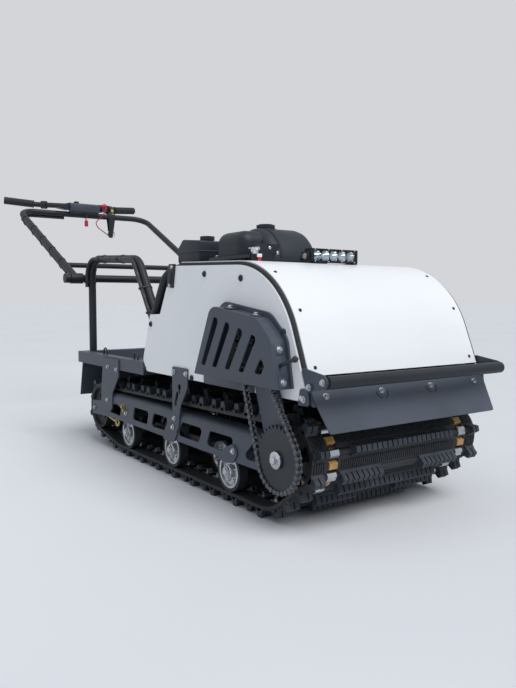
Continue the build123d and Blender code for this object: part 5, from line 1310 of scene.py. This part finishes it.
lash_eye = tube([(LASH_R, 0, -2), *hoop, (-LASH_R, 0, -2)], 2.6, 8)
lash_spots = [shift((x, side * LASH_Y, LASH_FOOT)) for x in LASH_X for side in SIDES]
repeat("lashing_eyes", lash_eye, lash_spots, "dark_steel")

# %% [markdown]
# Cable ties hold the harness to the tubes. A tie is a thin band drawn tight round two round bars, so its
# path is the same loop round circles that the track uses, here round a tube and a cable.

# %% Cable ties
HARNESS_R, TIE_STEPS, TIE_PLAY = 6, 28, 0.3
# Corners of the band's section: along the tube and outwards
TIE_SECTION = ((-2, -0.7), (2, -0.7), (2, 0.8), (-2, 0.8))


def tie_round(radius):
    """A band round a tube at the origin and a cable beside it, along Y."""
    offset = radius + HARNESS_R + TIE_PLAY
    path = runs_of([(0, 0, radius + 0.8), (offset, 0, HARNESS_R + 0.8)])
    total = loop_length(path)
    corners = [tuple(on_loop(path, total * i / TIE_STEPS, y, rise).translation)
               for i in range(TIE_STEPS) for y, rise in TIE_SECTION]
    lock = soft_block((offset + HARNESS_R - 1, offset + HARNESS_R + 4), (-2.6, 2.6), (-2.6, 2.6), 0.8, 2)
    return joined((corners, band_faces(TIE_STEPS)), lock)


def tied(point, run, to_cable):
    """The place of a tie whose Y runs along the tube and whose X points at the cable."""
    y = Vector(run).normalized()
    x = Vector(to_cable) - y * y.dot(Vector(to_cable))
    x.normalize()
    return shift(point) @ Matrix((x, y, x.cross(y))).transposed().to_4x4()


LEG_FOOT, LEG_TOP, BOW_R = Vector((-271.8, -264, 550)), Vector((-885, -282, 846)), 12
leg = LEG_TOP - LEG_FOOT
below = (leg.z, 0, leg.x)
bow_ties = [tied(LEG_FOOT + leg * share, leg, below) for share in (0.22, 0.38, 0.54, 0.7, 0.86)]
repeat("bow_ties", tie_round(BOW_R), bow_ties, "black_plastic", body="bow")
TUBE_R, HOOP_Y = 12.5, -218
POST_WAY, RAIL_WAY, STAY_WAY = (0, 0, 1), (1, 0, -0.05), (217, 0, -315)
tie_spots = [(-246, 536, POST_WAY), (-130, 610, RAIL_WAY), (20, 602.5, RAIL_WAY)]
tie_spots += [(128 + STAY_WAY[0] * share, 597 + STAY_WAY[2] * share, STAY_WAY) for share in (0.28, 0.5)]
hoop_ties = [tied((x, HOOP_Y, z), way, (0, -1, 0)) for x, z, way in tie_spots]
repeat("hoop_ties", tie_round(TUBE_R), hoop_ties, "black_plastic")

# %% [markdown]
# The engine under the hood shows from behind: cooling fins stand on its casting, and a round starter
# cover with slots closes its left side.

# %% Engine details
low, high = box_of("engine_block")
FIN_COUNT, FIN_PITCH, FIN_Z = 14, 17, 415
STARTER, VENTS, VENT_RING = Vector((590, high.y, 420)), 16, 56
fin = soft_block((-9, 1), (-2, 2), (-80, 80), 1.2, 2)
fin_spots = [shift((low.x, low.y + 40 + i * FIN_PITCH, FIN_Z)) for i in range(FIN_COUNT)]
repeat("engine_fins", fin, fin_spots, "engine_casting")
starter = turned([(88, 0), (88, 14), (80, 22), (30, 26), (26, 22), (0, 22)], 40)
solid("starter_cover", moved(starter, facing(STARTER, (0, 1, 0))), "black_plastic")
vent = prism(round_rect((-3, 3), (-16, 16), 2.9, 4), 0, 2.5)
vents = []
for a in [tau * i / VENTS for i in range(VENTS)]:
    spot = STARTER + Vector((VENT_RING * cos(a), 23.5, VENT_RING * sin(a)))
    vents.append(facing(spot, (0, 1, 0.05), (-sin(a), 0, cos(a))))
repeat("starter_vents", vent, vents, "dark_steel")
